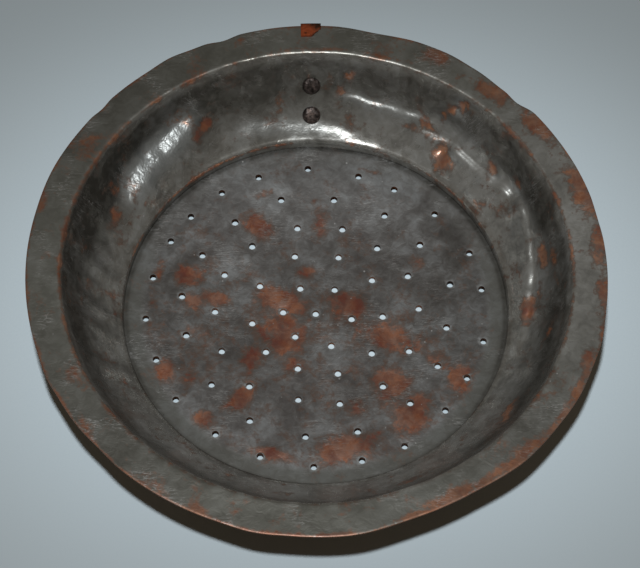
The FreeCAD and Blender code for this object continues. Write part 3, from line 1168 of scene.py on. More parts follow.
@dataclass(frozen=True)
class PanSizes:
    """Sizes that several pieces share."""

    rim_radius: float = 150.0 * MM
    rim_top: float = 55.7 * MM
    crease_radius: float = 132.0 * MM
    lip_radius: float = 102.5 * MM
    lip_top: float = 10.7 * MM
    seat_top: float = 5.7 * MM
    flange_inside: float = 103.8 * MM
    flange_top: float = 9.5 * MM
    gauge: float = 1.2 * MM
    wall_bend: float = 85.0 * MM
    upper_rivet: float = 35.7 * MM
    lower_rivet: float = 21.5 * MM
    upper_stack: float = 5.4 * MM
    lower_stack: float = 2.9 * MM
    strap_bearing: float = 90.0
    strap_inside: float = 1.3 * MM
    strap_gauge: float = 1.5 * MM
    gap: float = 0.1 * MM

    @property
    def wall_centre(self) -> tuple[float, float]:
        """Middle of the wall's arc.

        Returns:
            Its radius and its height.
        """
        across = self.crease_radius - self.lip_radius
        up = self.rim_top - self.lip_top
        share = math.sqrt(self.wall_bend**2 / (across**2 + up**2) - 0.25)
        return (
            (self.crease_radius + self.lip_radius) / 2 - up * share,
            (self.rim_top + self.lip_top) / 2 + across * share,
        )

    def wall_radius(self, height: float, offset: float = 0.0) -> float:
        """Radius of the wall at a height, at an offset outwards from its inner face."""
        across, up = self.wall_centre
        return across + math.sqrt((self.wall_bend + offset) ** 2 - (height - up) ** 2)

    def wall_height(self, radius: float, offset: float = 0.0) -> float:
        """Height of the wall at a radius, at an offset outwards from its inner face."""
        across, up = self.wall_centre
        return up - math.sqrt((self.wall_bend + offset) ** 2 - (radius - across) ** 2)

    def wall_frame(self, height: float) -> Matrix:
        """Frame on the wall's inner face below the strap.

        Args:
            height: Height on the wall.

        Returns:
            The frame, with its Z axis pointing into the pan.
        """
        across, up = self.wall_centre
        place = behind(self.wall_radius(height), height)
        inwards = behind(across, up) - place
        turn = Vector((0.0, 0.0, 1.0)).rotation_difference(inwards).to_matrix().to_4x4()
        return Matrix.Translation(place) @ turn


def fillet(start: Vector, corner: Vector, end: Vector, count: int) -> list[Vector]:
    """Points round a corner.

    Args:
        start: Where the rounding begins.
        corner: The sharp corner.
        end: Where the rounding ends.
        count: Number of points.

    Returns:
        The points, start and end among them.
    """
    return [start.lerp(corner, share).lerp(corner.lerp(end, share), share) for share in shares(count - 1)]


def worn_cover(lie: Lie, patches: Sequence[Patch], upright: bool = False) -> np.ndarray:
    """How worn each point is by a set of patches.

    Args:
        lie: Where the points lie.
        patches: The worn patches.
        upright: Count a patch's reach as a height and not as a radius.

    Returns:
        The wear of each point, from 0 to 1.
    """
    cover = np.zeros(len(lie.height))
    for patch in patches:
        turn = math.radians(patch.bearing)
        along = lie.along * math.cos(turn) - lie.across * math.sin(turn)
        outwards = lie.across * math.cos(turn) + lie.along * math.sin(turn)
        off = lie.height - patch.reach * MM if upright else outwards - patch.reach * MM
        spread = (along / (patch.length * MM)) ** 2 + (off / (patch.breadth * MM)) ** 2
        cover = np.maximum(cover, np.where(outwards > 0.0, patch.amount * np.exp(-spread), 0.0))
    return cover


@dataclass(frozen=True)
class Ledge:
    """A step that the hammer left along the wall, through places given by bearing and height."""

    line: tuple[tuple[float, float], ...]
    depth: float
    rise: float
    outwards: float = 0.6
    wander: float = 1.0
    # Share of the ledge's peening mark, which also lays a painted highlight along it.
    peened: float = 0.0
    fade: float = 6.0
    strays: tuple[Triple, ...] = ((0.7, 17.0, 0.0), (0.4, 41.0, 1.0), (0.25, 83.0, 2.0))

    def across(self, lie: Lie) -> tuple[np.ndarray, np.ndarray]:
        """Where points lie across the ledge.

        Args:
            lie: Where the points lie.

        Returns:
            How far above the ledge each point is, and its share of the ledge, which fades out at both ends.
        """
        bearings, heights = np.array(self.line).T
        middle = (bearings[0] + bearings[-1]) / 2
        half = (bearings[-1] - bearings[0]) / 2
        gap = bearing_gap(lie.bearing, middle)
        turn = np.radians(gap)
        stray = self.wander * ripple(turn, self.strays)
        line = (np.interp(gap, bearings - middle, heights) + stray) * MM
        return lie.height - line, ease(np.abs(gap), half + self.fade, half - self.fade)


@dataclass(frozen=True)
class Dint:
    """A small round hollow that is knocked outwards into the wall."""

    bearing: float
    height: float
    depth: float
    spread: float


@dataclass(frozen=True)
class Dent:
    """A place where the rim's edge is bent in or out, and up or down."""

    bearing: float
    out: float
    up: float
    reach: float


@dataclass(frozen=True)
class BowlZones:
    """Parts of the bowl's sheet as shares from 0 to 1 at each point, by which its wear is painted."""

    down: np.ndarray
    rim: np.ndarray
    crease: np.ndarray
    lip: np.ndarray
    left: np.ndarray
    # right: the right side, where the rim is painted lighter as painted light and the upper wall gets more
    # painted shade.
    right: np.ndarray
    # low: the low wall at the front and the right, which gets a painted sheen.
    low: np.ndarray


@dataclass
class Bowl:
    """The wall and the flat rim, one raised sheet."""

    sizes: PanSizes
    finishes: Finishes
    steps: int = 450
    rim_rings: int = 13
    wall_rings: int = 54
    corner_rings: int = 7
    crease_round: float = 1.9 * MM
    lip_round: float = 1.0 * MM
    edge_round: float = 0.3 * MM
    edge_trim: float = 0.06 * MM
    least_bare: float = 0.02
    rim_wave: float = 1.3 * MM
    rim_wave_size: float = 55.0 * MM
    wall_wave: float = 1.9 * MM
    wall_wave_size: float = 42.0 * MM
    hammer_depth: float = 0.75 * MM
    hammer_size: float = 15.0 * MM
    crease_hammer_size: float = 7.0 * MM
    tool_depth: float = 0.16 * MM
    tool_size: float = 4.5 * MM
    flute_depth: float = 1.0 * MM
    flute_lean: float = 2.2
    flute_waves: tuple[Triple, ...] = ((1.0, 23.0, 0.4), (1.0, 37.0, 2.0), (0.8, 61.0, 4.1))
    fold_depth: float = 1.0 * MM
    fold_across: tuple[float, float] = (15.5 * MM, 2.0 * MM)
    fold_up: tuple[float, float] = (34.0 * MM, 12.0 * MM)
    upper_fade: tuple[float, float] = (0.03, 0.18)
    lower_fade: tuple[float, float] = (1.0, 0.86)
    strap_fade: tuple[float, float] = (6.5, 9.0)
    strap_spread: float = 7.0
    lip_bead: float = 0.5 * MM
    lip_spread: float = 1.2 * MM
    crease_spread: float = 3.0 * MM
    ledges: tuple[Ledge, ...] = (
        Ledge(
            (
                (-14.0, 18.0), (-2.0, 20.0), (6.7, 22.7), (13.1, 26.4), (19.8, 30.2),
                (24.6, 31.0), (33.0, 27.5), (40.5, 25.6), (53.4, 26.0), (59.0, 25.2),
            ),
            2.1, 3.0, 0.6, 0.6, 0.35,
        ),
        Ledge(((57.0, 31.0), (61.3, 31.0), (73.8, 29.5), (82.0, 32.0)), 1.1, 2.6, 0.6, 0.6, 0.55),
        Ledge(((49.0, 49.8), (54.0, 46.6)), 1.9, 2.2, 0.6, 0.1),
        Ledge(((122.0, 33.0), (136.0, 29.0), (150.0, 25.0)), 4.5, 8.5, 0.6, 0.8, 0.9),
        Ledge(((75.0, 13.5), (81.0, 14.5), (88.0, 15.5)), 0.95, 5.0, 0.05, 0.5, 0.45),
        Ledge(((84.0, 16.0), (96.0, 17.0), (112.0, 20.0)), 0.4, 5.0, 0.05, 1.0, 0.65),
    )
    dints: tuple[Dint, ...] = from_rows(
        Dint,
        (51.5, 22.5, 3.0, 4.5), (46.5, 21.0, 1.5, 3.0), (51.2, 47.8, 2.6, 3.0), (52.4, 44.6, 2.2, 2.8),
        (27.5, 30.5, 2.4, 6.0), (34.5, 27.8, 1.5, 3.5), (57.0, 35.0, 1.2, 3.5), (31.0, 33.0, 1.0, 3.5),
        (119.5, 30.0, 1.2, 3.2), (155.0, 28.0, 1.4, 3.5), (163.0, 21.0, 1.0, 5.0), (12.0, 34.0, 1.0, 5.0),
        (205.0, 30.0, 1.2, 6.0), (335.0, 30.0, 1.3, 6.0),
    )
    dents: tuple[Dent, ...] = from_rows(
        Dent,
        (10.0, -0.4, 0.2, 14.0), (41.5, -2.1, 0.0, 11.0), (46.0, -1.9, 0.0, 19.0),
        (54.0, -0.8, 0.0, 18.0), (76.0, -1.2, 0.0, 24.0), (108.5, -1.6, 0.2, 11.0),
        (121.0, 0.6, 0.4, 15.0), (139.5, -0.8, -0.2, 9.0), (156.0, 0.5, 0.3, 30.0),
        (204.0, 0.6, 0.0, 14.0), (222.0, -0.6, -0.3, 16.0), (257.0, 0.7, -0.2, 20.0),
        (287.5, -2.4, -0.4, 32.0), (295.5, -1.2, 0.0, 26.0), (302.0, -2.0, -0.4, 30.0),
        (330.0, 0.8, 0.2, 28.0), (342.0, 0.8, 0.2, 20.0),
    )
    rim_wear: tuple[Patch, ...] = from_rows(
        Patch,
        (62.0, 146.0, 10.0, 4.5), (47.7, 142.5, 10.0, 6.0), (34.6, 146.0, 17.0, 6.0),
        (16.0, 147.0, 18.0, 6.0), (4.0, 147.0, 16.0, 5.0), (353.0, 148.0, 10.0, 4.0),
        (337.0, 147.0, 8.0, 3.5, 0.7), (314.0, 147.0, 17.0, 4.0), (331.0, 148.6, 11.0, 2.4),
        (322.0, 148.2, 14.0, 2.6), (309.0, 147.0, 16.0, 4.2, 0.9), (305.0, 145.8, 15.0, 3.4),
        (297.0, 144.4, 17.0, 3.6), (287.0, 146.8, 14.0, 2.6), (272.0, 149.3, 20.0, 2.0),
        (246.0, 148.0, 6.0, 3.0), (237.0, 146.5, 5.0, 3.0, 0.8), (217.0, 147.5, 5.0, 3.5, 0.9),
        (206.0, 137.5, 6.0, 4.0, 0.7), (165.5, 147.5, 4.5, 3.5, 0.9), (148.6, 140.0, 9.0, 6.0, 0.5),
        (105.5, 145.5, 3.0, 2.5, 0.7),
    )
    wall_wear: tuple[Patch, ...] = from_rows(
        Patch,
        (119.0, 28.5, 5.0, 3.5), (123.0, 26.0, 3.0, 3.0, 0.8), (155.5, 26.0, 5.0, 4.0, 0.8),
        (151.0, 34.5, 3.5, 5.0, 0.7), (53.4, 42.5, 3.0, 3.5), (51.7, 46.8, 3.2, 3.5),
        (50.5, 50.5, 2.6, 3.0), (50.5, 19.5, 9.0, 5.5), (58.0, 29.0, 5.0, 3.0, 0.8),
        (54.7, 34.0, 2.5, 6.0, 0.7), (36.4, 30.0, 3.0, 3.0, 0.9), (29.0, 35.5, 5.0, 4.0, 0.8),
        (32.7, 15.5, 5.0, 3.5, 0.6), (8.0, 31.0, 9.0, 4.0, 0.9), (6.0, 39.5, 10.0, 3.0, 0.6),
        (80.5, 43.0, 3.5, 3.0, 0.8), (82.6, 33.0, 2.6, 3.5, 0.9), (85.6, 39.0, 3.5, 4.5, 0.6),
        (62.4, 25.0, 6.0, 2.5, 0.7), (323.0, 31.0, 10.0, 6.0, 0.75), (355.0, 19.5, 10.0, 2.5, 0.7),
        (346.0, 37.5, 9.0, 3.0, 0.55), (290.0, 29.0, 11.0, 3.0, 0.6),
    )
    # Spots on the right wall that are hammered and painted with highlights.
    peen_and_sheen_spots: tuple[Patch, ...] = from_rows(
        Patch,
        (28.5, 30.5, 6.0, 3.0, 0.75), (35.5, 26.8, 5.0, 1.6, 0.6), (51.9, 46.5, 3.5, 6.0, 0.8),
    )

    def section(self) -> list[Vector]:
        """Draw the upper and inner face, from the rim's edge in to the crease and down to the collar's foot.

        Returns:
            The line's points.
        """
        sizes = self.sizes
        crease = station(sizes.crease_radius, sizes.rim_top)
        lip = station(sizes.lip_radius, sizes.lip_top)
        crease_out = crease + station(self.crease_round, 0.0)
        crease_height = sizes.rim_top - self.crease_round
        lip_radius = sizes.lip_radius + self.lip_round
        below_crease = station(sizes.wall_radius(crease_height), crease_height)
        above_lip = station(lip_radius, sizes.wall_height(lip_radius))
        below_lip = lip - station(0.0, self.lip_round)
        foot = station(sizes.lip_radius, sizes.seat_top)
        edge = station(sizes.rim_radius - self.edge_trim, sizes.rim_top)
        line = [edge.lerp(crease_out, share) for share in shares(self.rim_rings)[:-1]]
        line += fillet(crease_out, crease, below_crease, self.corner_rings)
        for share in shares(self.wall_rings)[1:-1]:
            height = crease_height + (above_lip.z - crease_height) * share
            line.append(station(sizes.wall_radius(height), height))
        line += fillet(above_lip, lip, below_lip, self.corner_rings)
        line += [below_lip.lerp(foot, share) for share in (0.5, 1.0)]
        return line

    def build(self) -> Workpiece:
        """Raise the sheet, hammer it and give it its thickness.

        Returns:
            The wall.
        """
        finishes = self.finishes
        piece = Workpiece.lathe("hammered_wall", self.section(), self.steps, finishes.wall, finishes.outside)
        piece.face_up()
        self.hammer(piece)
        self.bend_rim(piece)
        piece.thicken(self.sizes.gauge, outer_slot=1)
        piece.round_edges(self.edge_round, sharp=60.0)
        return piece

    def share_down(self, lie: Lie) -> np.ndarray:
        """Share of the way down from the rim to the lip."""
        return (self.sizes.rim_top - lie.height) / (self.sizes.rim_top - self.sizes.lip_top)

    def hammer(self, piece: Workpiece) -> None:
        """Leave waves, hammer marks, ledges and the flat place behind the rivets on the wall.

        Args:
            piece: The wall's sheet.
        """
        lie = piece.lie()
        down = self.share_down(lie)
        wall = ease(down, *self.upper_fade) * ease(down, *self.lower_fade)
        off_strap = ease(np.abs(bearing_gap(lie.bearing, self.sizes.strap_bearing)), *self.strap_fade)
        for ledge in self.ledges:
            self.step(piece, lie, ledge)
        for dint in self.dints:
            centre = polar(self.sizes.wall_radius(dint.height * MM), dint.bearing, dint.height * MM)
            distance = np.linalg.norm(piece.places() - np.array(centre), axis=1)
            piece.press(wall * hump(distance, 0.0, dint.spread * MM), -dint.depth * MM)
        free = wall * off_strap
        piece.press(free, self.wall_wave, self.wall_wave_size)
        piece.press(free, self.hammer_depth, self.hammer_size)
        piece.press(free, self.tool_depth, self.tool_size)
        piece.press(free * self.flutes(lie), self.flute_depth)
        fold = hump(np.abs(lie.across), *self.fold_across) * hump(lie.height, *self.fold_up)
        piece.press(wall * fold * (lie.along > 0.0), -self.fold_depth)

    def flutes(self, lie: Lie) -> np.ndarray:
        """Uneven shallow flutes that run up the wall.

        Args:
            lie: Where the points lie.

        Returns:
            How far each point stands out, from 0 to 1.
        """
        turn = np.radians(lie.bearing) + self.flute_lean * lie.height
        largest = sum(size for size, _, _ in self.flute_waves)
        return 0.5 + ripple(turn, self.flute_waves) / (2.0 * largest)

    def step(self, piece: Workpiece, lie: Lie, ledge: Ledge) -> None:
        """Press one ledge into the wall.

        Args:
            piece: The wall's sheet.
            lie: Where its points lie.
            ledge: The ledge.
        """
        above, share = ledge.across(lie)
        rise = ledge.rise * MM
        upper = ease(above, -rise / 2, rise / 2) * ease(above, max(16.0 * MM, 2.6 * rise), 0.7 * rise)
        lower = ease(above, rise / 2, -rise / 2) * ease(above, -max(14.0 * MM, 2.2 * rise), -0.7 * rise)
        on_wall = ease(self.share_down(lie), 0.03, 0.12)
        piece.press(upper * share * on_wall, -ledge.outwards * ledge.depth * MM)
        piece.press(lower * share * on_wall, (1.0 - ledge.outwards) * ledge.depth * MM)

    def bend_rim(self, piece: Workpiece) -> None:
        """Bend the rim out of true, and keep it flat under the strap.

        Args:
            piece: The wall's sheet.
        """
        sizes = self.sizes
        lie = piece.lie()
        lip_out = lie.radius - sizes.lip_radius - self.lip_round
        lip_up = lie.height - sizes.lip_top - self.lip_round
        piece.press(hump(np.hypot(lip_out, lip_up), 0.0, self.lip_spread), self.lip_bead, way=Way.UP)
        corner = np.hypot(lie.radius - sizes.crease_radius, lie.height - sizes.rim_top)
        piece.press(hump(corner, 0.0, self.crease_spread), self.hammer_depth, self.crease_hammer_size)
        rim = ease(lie.radius, sizes.crease_radius - MM, sizes.crease_radius + 8.0 * MM)
        strap = lie.about(sizes.strap_bearing, self.strap_spread)
        piece.press(rim * (1.0 - strap), self.rim_wave, self.rim_wave_size, way=Way.UP)
        for dent in self.dents:
            place = polar(sizes.rim_radius, dent.bearing, sizes.rim_top)
            piece.knock(place, polar(dent.out * MM, dent.bearing, dent.up * MM), dent.reach * MM)

    def near_edge(self, lie: Lie) -> np.ndarray:
        """How near points are to the rim's bent outer edge.

        Args:
            lie: Where the points lie.

        Returns:
            1 on the edge, falling to 0 a little way in.
        """
        degree = np.floor(lie.bearing).astype(int) % 360
        reach = np.zeros(360)
        np.maximum.at(reach, degree, lie.radius)
        return ease(reach[degree] - lie.radius, 2.0 * MM, 0.5 * MM)

    def zones(self, lie: Lie) -> BowlZones:
        """Share out the sheet into the zones that wear differently.

        Args:
            lie: Where the points lie.

        Returns:
            The zones.
        """
        sizes = self.sizes
        down = self.share_down(lie)
        on_rim = ease(lie.radius, sizes.crease_radius - MM, sizes.crease_radius + 2.0 * MM)
        crease_line = hump(lie.radius, sizes.crease_radius + 0.4 * MM, 1.5 * MM)
        lip_line = hump(lie.radius, sizes.lip_radius + 0.6 * MM, 0.8 * MM)
        return BowlZones(
            down=down,
            rim=on_rim * ease(down, 0.09, 0.05),
            crease=crease_line * hump(lie.height, sizes.rim_top, self.crease_spread),
            lip=lip_line * hump(lie.height, sizes.lip_top, self.lip_spread),
            left=lie.about(168.0, 42.0),
            right=lie.about(5.0, 35.0),
            low=ease(down, 0.35, 0.6) * np.maximum(lie.about(268.0, 75.0), lie.about(36.0, 42.0)),
        )

    def bare(self, lie: Lie, zones: BowlZones) -> np.ndarray:
        """Where the tin is worn through: patches, the rim's edge, the crease and the lip.

        Args:
            lie: Where the points lie.
            zones: The sheet's zones.

        Returns:
            The wear of each point.
        """
        sides = 0.42 + 0.22 * np.cos(np.radians(2.0 * bearing_gap(lie.bearing, 175.0)))
        sides *= 1.0 - 0.85 * lie.about(300.0, 38.0)
        lip_share = 0.16 + 0.7 * lie.about(130.0, 38.0)
        lip_share += 0.75 * lie.about(46.5, 7.5) + 0.4 * lie.about(103.0, 12.0)
        far_line = hump(lie.radius, self.sizes.crease_radius + 2.6 * MM, 1.4 * MM)
        wall = 1.0 - zones.rim
        return np.maximum.reduce(
            [
                zones.rim * worn_cover(lie, self.rim_wear),
                wall * worn_cover(lie, self.wall_wear, upright=True),
                self.near_edge(lie) * (0.5 + 0.35 * lie.about(255.0, 70.0)),
                0.5 * zones.rim * far_line * lie.about(84.0, 20.0),
                zones.crease * sides,
                zones.lip * lip_share,
                np.full(len(wall), self.least_bare),
            ]
        )

    def soot(self, lie: Lie, zones: BowlZones) -> np.ndarray:
        """Where sooty grime and painted shade lie: painted shade on the upper wall, painted shadow with grime
        in the groove and painted shade at the foot, darker clouds on the wall, and clouds of smoke on the rim.

        Args:
            lie: Where the points lie.
            zones: The sheet's zones.

        Returns:
            The darkening at each point.
        """
        sizes = self.sizes
        down = zones.down
        # Painted shade: the steep upper wall, and on the left the band just under the crease, are darkened for
        # the dark reflection and the shade there.
        shaded_band = np.maximum(ease(down, 0.05, 0.16), zones.left * ease(down, 0.01, 0.07))
        upper = shaded_band * ease(down, 0.86, 0.44) * (0.62 + 0.46 * lie.about(165.0, 55.0) + 0.2 * zones.right)
        right_cloud = 0.3 * ease(down, 0.2, 0.4) * ease(down, 0.95, 0.7) * lie.about(330.0, 26.0)
        far_cloud = 0.2 * ease(down, 0.4, 0.55) * ease(down, 0.9, 0.75) * lie.about(104.0, 10.0)
        left_foot = 0.2 * ease(down, 0.5, 0.8) * lie.about(150.0, 60.0)
        # The low wall is kept lighter, for its painted sheen.
        wall = (upper + right_cloud + far_cloud) * (1.0 - 0.7 * zones.low) + left_foot
        # Painted shadow with grime along the foot of the lip at the front.
        groove = hump(lie.height, sizes.lip_top + 0.6 * MM, 1.5 * MM) * lie.about(245.0, 85.0)
        smoke = sum(lie.about(bearing, 22.0) for bearing in (138.0, 222.0, 312.0))
        # Painted shade in the corner at the collar's foot.
        foot = ease(lie.height, sizes.seat_top + 2.2 * MM, sizes.seat_top + 0.6 * MM)
        return np.maximum.reduce([wall, foot, 0.9 * groove, 0.5 * zones.rim * smoke])

    def peened(self, lie: Lie, zones: BowlZones) -> np.ndarray:
        """Where the tin is hammered and painted bright: peening with painted highlights on the ledges and a
        few spots, and a painted sheen on the far low wall, the low wall and the rim's right side.

        Args:
            lie: Where the points lie.
            zones: The sheet's zones.

        Returns:
            The brightness of each point.
        """
        marks = []
        for ledge in self.ledges:
            above, share = ledge.across(lie)
            marks.append(ledge.peened * share * hump(above, 0.0, 0.6 * ledge.rise * MM + MM))
        marks.append((1.0 - zones.rim) * worn_cover(lie, self.peen_and_sheen_spots, upright=True))
        # Painted sheen, bluish, on the far low wall round the lower rivet.
        marks.append(0.16 * lie.about(92.0, 17.0) * hump(lie.height, 22.0 * MM, 9.0 * MM))
        # Painted sheen on the low wall, for the floor's reflection in it.
        marks.append(0.3 * zones.low * ease(zones.down, 0.98, 0.9))
        # Painted sheen on the rim's right side.
        marks.append(0.32 * zones.rim * zones.right)
        return np.maximum.reduce(marks)

    def dress(self, piece: Workpiece) -> None:
        """Paint the wear, the painted shade and the painted sheen, and put the wall in the frame.

        Args:
            piece: The wall.
        """
        lie = piece.lie()
        zones = self.zones(lie)
        # The crease, the lip and the low wall are made less dull and so lighter, on the low wall as a painted
        # sheen; the rim is made less dull on its right side, a painted light on that side.
        rubbed_and_sheen = np.maximum.reduce([zones.crease, zones.lip, zones.low * (1.0 - zones.rim)])
        dull = 0.25 + zones.rim * (0.75 - 0.85 * zones.right) - 0.25 * rubbed_and_sheen
        piece.paint(Mark.BARE, self.bare(lie, zones))
        piece.paint(Mark.SOOT, self.soot(lie, zones))
        piece.paint(Mark.PEENED, self.peened(lie, zones))
        piece.paint(Mark.DULL, np.maximum(dull, zones.crease * zones.left))
        piece.settle(Body.PAN, "bowl_wall")


@dataclass
class StrainerFloor:
    """The perforated floor, a shallow tray whose edge is turned up round the collar."""

    sizes: PanSizes
    finishes: Finishes
    steps: int = 300
    flat_radius: float = 45.0 * MM
    dish_radius: float = 99.5 * MM
    rings: int = 58
    hole_radius: float = 1.9 * MM
    hole_taper: float = 0.35 * MM
    hole_pitch: float = 18.0 * MM
    hole_rings: tuple[tuple[tuple[float, float], ...], ...] = (
        (
            (54, 0), (117, -0.5), (175.5, -0.5), (230, -0.5), (292, 3), (350, 1.5),
        ),
        (
            (33, 1), (69, 1), (106.5, 1), (149.5, -1.5), (188.5, -1.5), (219.5, -1), (252.5, -2), (287, 1.5),
            (320.5, 2), (356.5, 0),
        ),
        (
            (23.5, 1), (49, -1.5), (73, 0), (99.5, -0.5), (129, -0.5), (153.5, 0.5), (178, 0), (203.5, 1),
            (230, 2), (258.5, -2), (282, 1), (308, 2), (334.5, 0.5), (2, 1.5),
        ),
        (
            (12, 2.5), (35, -1.5), (56.5, -1), (80.5, -1.5), (104, 0), (127.5, -1.5), (149.5, -1.5),
            (171.5, 0.5), (190.5, -1.5), (217, -2), (240.5, 1), (264.5, 1.5), (286, 1.5), (311.5, 1),
            (332.5, 0), (351.5, -1.5),
        ),
        (
            (7.5, 0.5), (22, 1), (41.5, -1), (59, -2.5), (73, -2.5), (91.5, -1), (109.5, -1), (124, -0.5),
            (138.5, -0.5), (150.5, -0.5), (166, 0), (182, 1), (198, -0.5), (214.5, 0.5), (233, -0.5),
            (250, 0), (268, 1), (284, 0.5), (299, 1.5), (318, -0.5), (332.5, -1), (347.5, 1),
        ),
    )
    seat_stops: tuple[float, ...] = (101.0 * MM, 102.6 * MM)
    flange_stops: tuple[float, ...] = (7.0 * MM, 8.3 * MM)
    punch_depth: float = 0.3 * MM
    punch_spread: float = 3.2 * MM
    punch_sides: int = 18
    lift: float = 0.35 * MM
    wave: float = 0.9 * MM
    wave_size: float = 38.0 * MM
    wear: tuple[Patch, ...] = from_rows(
        Patch,
        (120.0, 62.0, 7.0, 9.0), (86.0, 55.0, 5.0, 11.0, 0.75), (99.0, 26.0, 8.0, 4.0, 0.8),
        (161.0, 73.0, 8.0, 9.0), (110.0, 78.0, 7.0, 3.0, 0.7), (163.0, 88.0, 8.0, 4.0, 0.8),
        (28.5, 63.5, 7.0, 5.0, 0.6), (37.0, 89.0, 8.0, 4.0, 0.6), (71.0, 92.5, 9.0, 2.0, 0.6),
        (170.0, 55.0, 6.0, 11.0, 0.85), (173.0, 66.0, 7.0, 8.0, 0.8), (157.0, 19.0, 9.0, 19.0, 0.85),
        (216.0, 21.0, 17.0, 14.0), (216.0, 42.0, 8.0, 9.0, 0.8), (251.0, 32.0, 9.0, 6.0, 0.85),
        (203.0, 87.0, 9.0, 6.0), (209.0, 77.0, 9.0, 8.0, 0.65), (231.0, 65.0, 7.0, 11.0),
        (226.0, 87.0, 6.0, 6.0, 0.95), (254.0, 87.0, 12.0, 4.0), (278.0, 82.0, 17.0, 10.0),
        (18.0, 17.0, 10.0, 14.0, 0.85), (339.0, 45.0, 9.0, 24.0, 0.75), (312.0, 58.0, 11.0, 10.0),
        (308.0, 79.0, 13.0, 12.0), (331.0, 86.0, 9.0, 7.0), (335.0, 70.0, 7.0, 8.0, 0.7),
        (289.0, 61.0, 8.0, 7.0, 0.7),
    )

    def holes(self) -> list[Vector]:
        """Place the drain holes, one in the middle and rings round it that a hand punch left uneven.

        Returns:
            The holes' places.
        """
        places = [Vector()]
        for ring, holes in enumerate(self.hole_rings, start=1):
            for bearing, stray in holes:
                radius = ring * self.hole_pitch + stray * MM
                places.append(polar(radius, bearing, self.climb(radius)))
        return places

    def climb(self, radius: float) -> float:
        """How far the dish has climbed above its flat middle at a radius."""
        share = max(0.0, radius - self.flat_radius) / (self.dish_radius - self.flat_radius)
        return (self.sizes.seat_top - self.sizes.gauge) * share

    def section(self) -> list[Vector]:
        """Draw the upper face, from the middle out to the seat and up the flange.

        Returns:
            The line's points.
        """
        sizes = self.sizes
        radii = [self.dish_radius * share for share in shares(self.rings)]
        line = [station(radius, sizes.gauge + self.climb(radius)) for radius in radii]
        line += [station(radius, sizes.seat_top) for radius in (*self.seat_stops, sizes.flange_inside)]
        line += [station(sizes.flange_inside, height) for height in (*self.flange_stops, sizes.flange_top)]
        return line

    def build(self) -> Workpiece:
        """Raise the floor's sheet, punch it and give it its thickness.

        Returns:
            The floor.
        """
        finishes = self.finishes
        piece = Workpiece.lathe("punched_floor", self.section(), self.steps, finishes.floor, finishes.outside)
        piece.face_up()
        lie = piece.lie()
        inside = ease(lie.radius, 97.0 * MM, 82.0 * MM)
        piece.press(inside, self.lift + self.wave / 2, way=Way.UP)
        piece.press(inside, self.wave, self.wave_size, way=Way.UP)
        punched = hump(self.off_holes(lie), 0.0, self.punch_spread)
        piece.press(punched, -self.punch_depth, way=Way.UP)
        piece.thicken(self.sizes.gauge, outer_slot=1)
        piece.cut(self.punches())
        return piece

    def off_holes(self, lie: Lie) -> np.ndarray:
        """Level distance of each point from the nearest hole."""
        return np.min([lie.off(hole) for hole in self.holes()], axis=0)

    def punches(self) -> Workpiece:
        """Make all the punches as one tool, each a tapered copy of the first.

        Returns:
            The tool.
        """
        top = 20.0 * MM
        bottom = -5.0 * MM
        narrow = self.hole_radius - self.hole_taper
        wide = self.hole_radius + 0.1 * MM
        sides = (
            (0.0, bottom), (narrow, bottom), (narrow, 0.3 * MM), (wide, 2.1 * MM), (wide, top), (0.0, top),
        )
        line = [station(radius, height) for radius, height in sides]
        punch = Workpiece.lathe("punch", line, self.punch_sides, self.finishes.outside)
        copies = []
        for hole in self.holes()[1:]:
            bpy.ops.object.select_all(action="DESELECT")
            copy = punch.object.copy()
            copy.data = punch.object.data.copy()
            copy.location = hole
            bpy.context.collection.objects.link(copy)
            copy.select_set(True)
            bpy.context.view_layer.objects.active = copy
            bpy.ops.object.transform_apply(location=True, rotation=True, scale=True)
            copies.append(copy)
        punch.take()
        for copy in copies:
            copy.select_set(True)
        bpy.ops.object.join()
        return punch

    def dress(self, piece: Workpiece) -> None:
        """Paint the wear, the painted shade and the painted sheen, and put the floor in the frame.

        Args:
            piece: The floor.
        """
        lie = piece.lie()
        annulus = ease(lie.radius, 90.0 * MM, 95.0 * MM)
        far = ease(lie.along, 10.0 * MM, 60.0 * MM)
        near = ease(lie.along, -10.0 * MM, -50.0 * MM)
        thin = (0.22 - 0.12 * far) * (1.0 - annulus)
        bare = np.maximum(worn_cover(lie, self.wear) * (1.0 - 0.5 * annulus), thin)
        right = ease(lie.across, 20.0 * MM, 75.0 * MM)
        sides = ease(np.abs(lie.across), 45.0 * MM, 80.0 * MM)
        # Darkening over the dish, heavier to the right and at the sides and lighter near the front; lighter
        # still towards the far side, as a painted sheen.
        darkening = 0.20 - 0.16 * far - 0.17 * near + 0.18 * right + 0.20 * sides
        # Painted shade with grime in the corner where the seat meets the collar.
        groove = 0.95 * hump(lie.radius, 101.8 * MM, 1.7 * MM)
        soot = groove + darkening * (1.0 - annulus) + 0.15 * sides * annulus
        off = self.off_holes(lie)
        # Painted shade inside each hole below its rim, and a painted highlight on its upper edge.
        upper_edge = (off > self.hole_radius - 0.15 * MM) & (off < self.hole_radius + 0.25 * MM)
        lower_edge = off <= self.hole_radius - 0.15 * MM
        # Painted sheen, bluish, towards the far side of the dish.
        peened = 0.12 * ease(lie.along, 40.0 * MM, 75.0 * MM) * (1.0 - annulus)
        piece.paint(Mark.BARE, bare * ~upper_edge)
        piece.paint(Mark.SOOT, np.maximum(soot * ~upper_edge, 0.95 * lower_edge))
        piece.paint(Mark.DULL, annulus * (0.9 - 0.6 * far))
        piece.paint(Mark.PEENED, np.maximum(peened, 0.3 * upper_edge))
        piece.settle(Body.PAN, "strainer_floor")


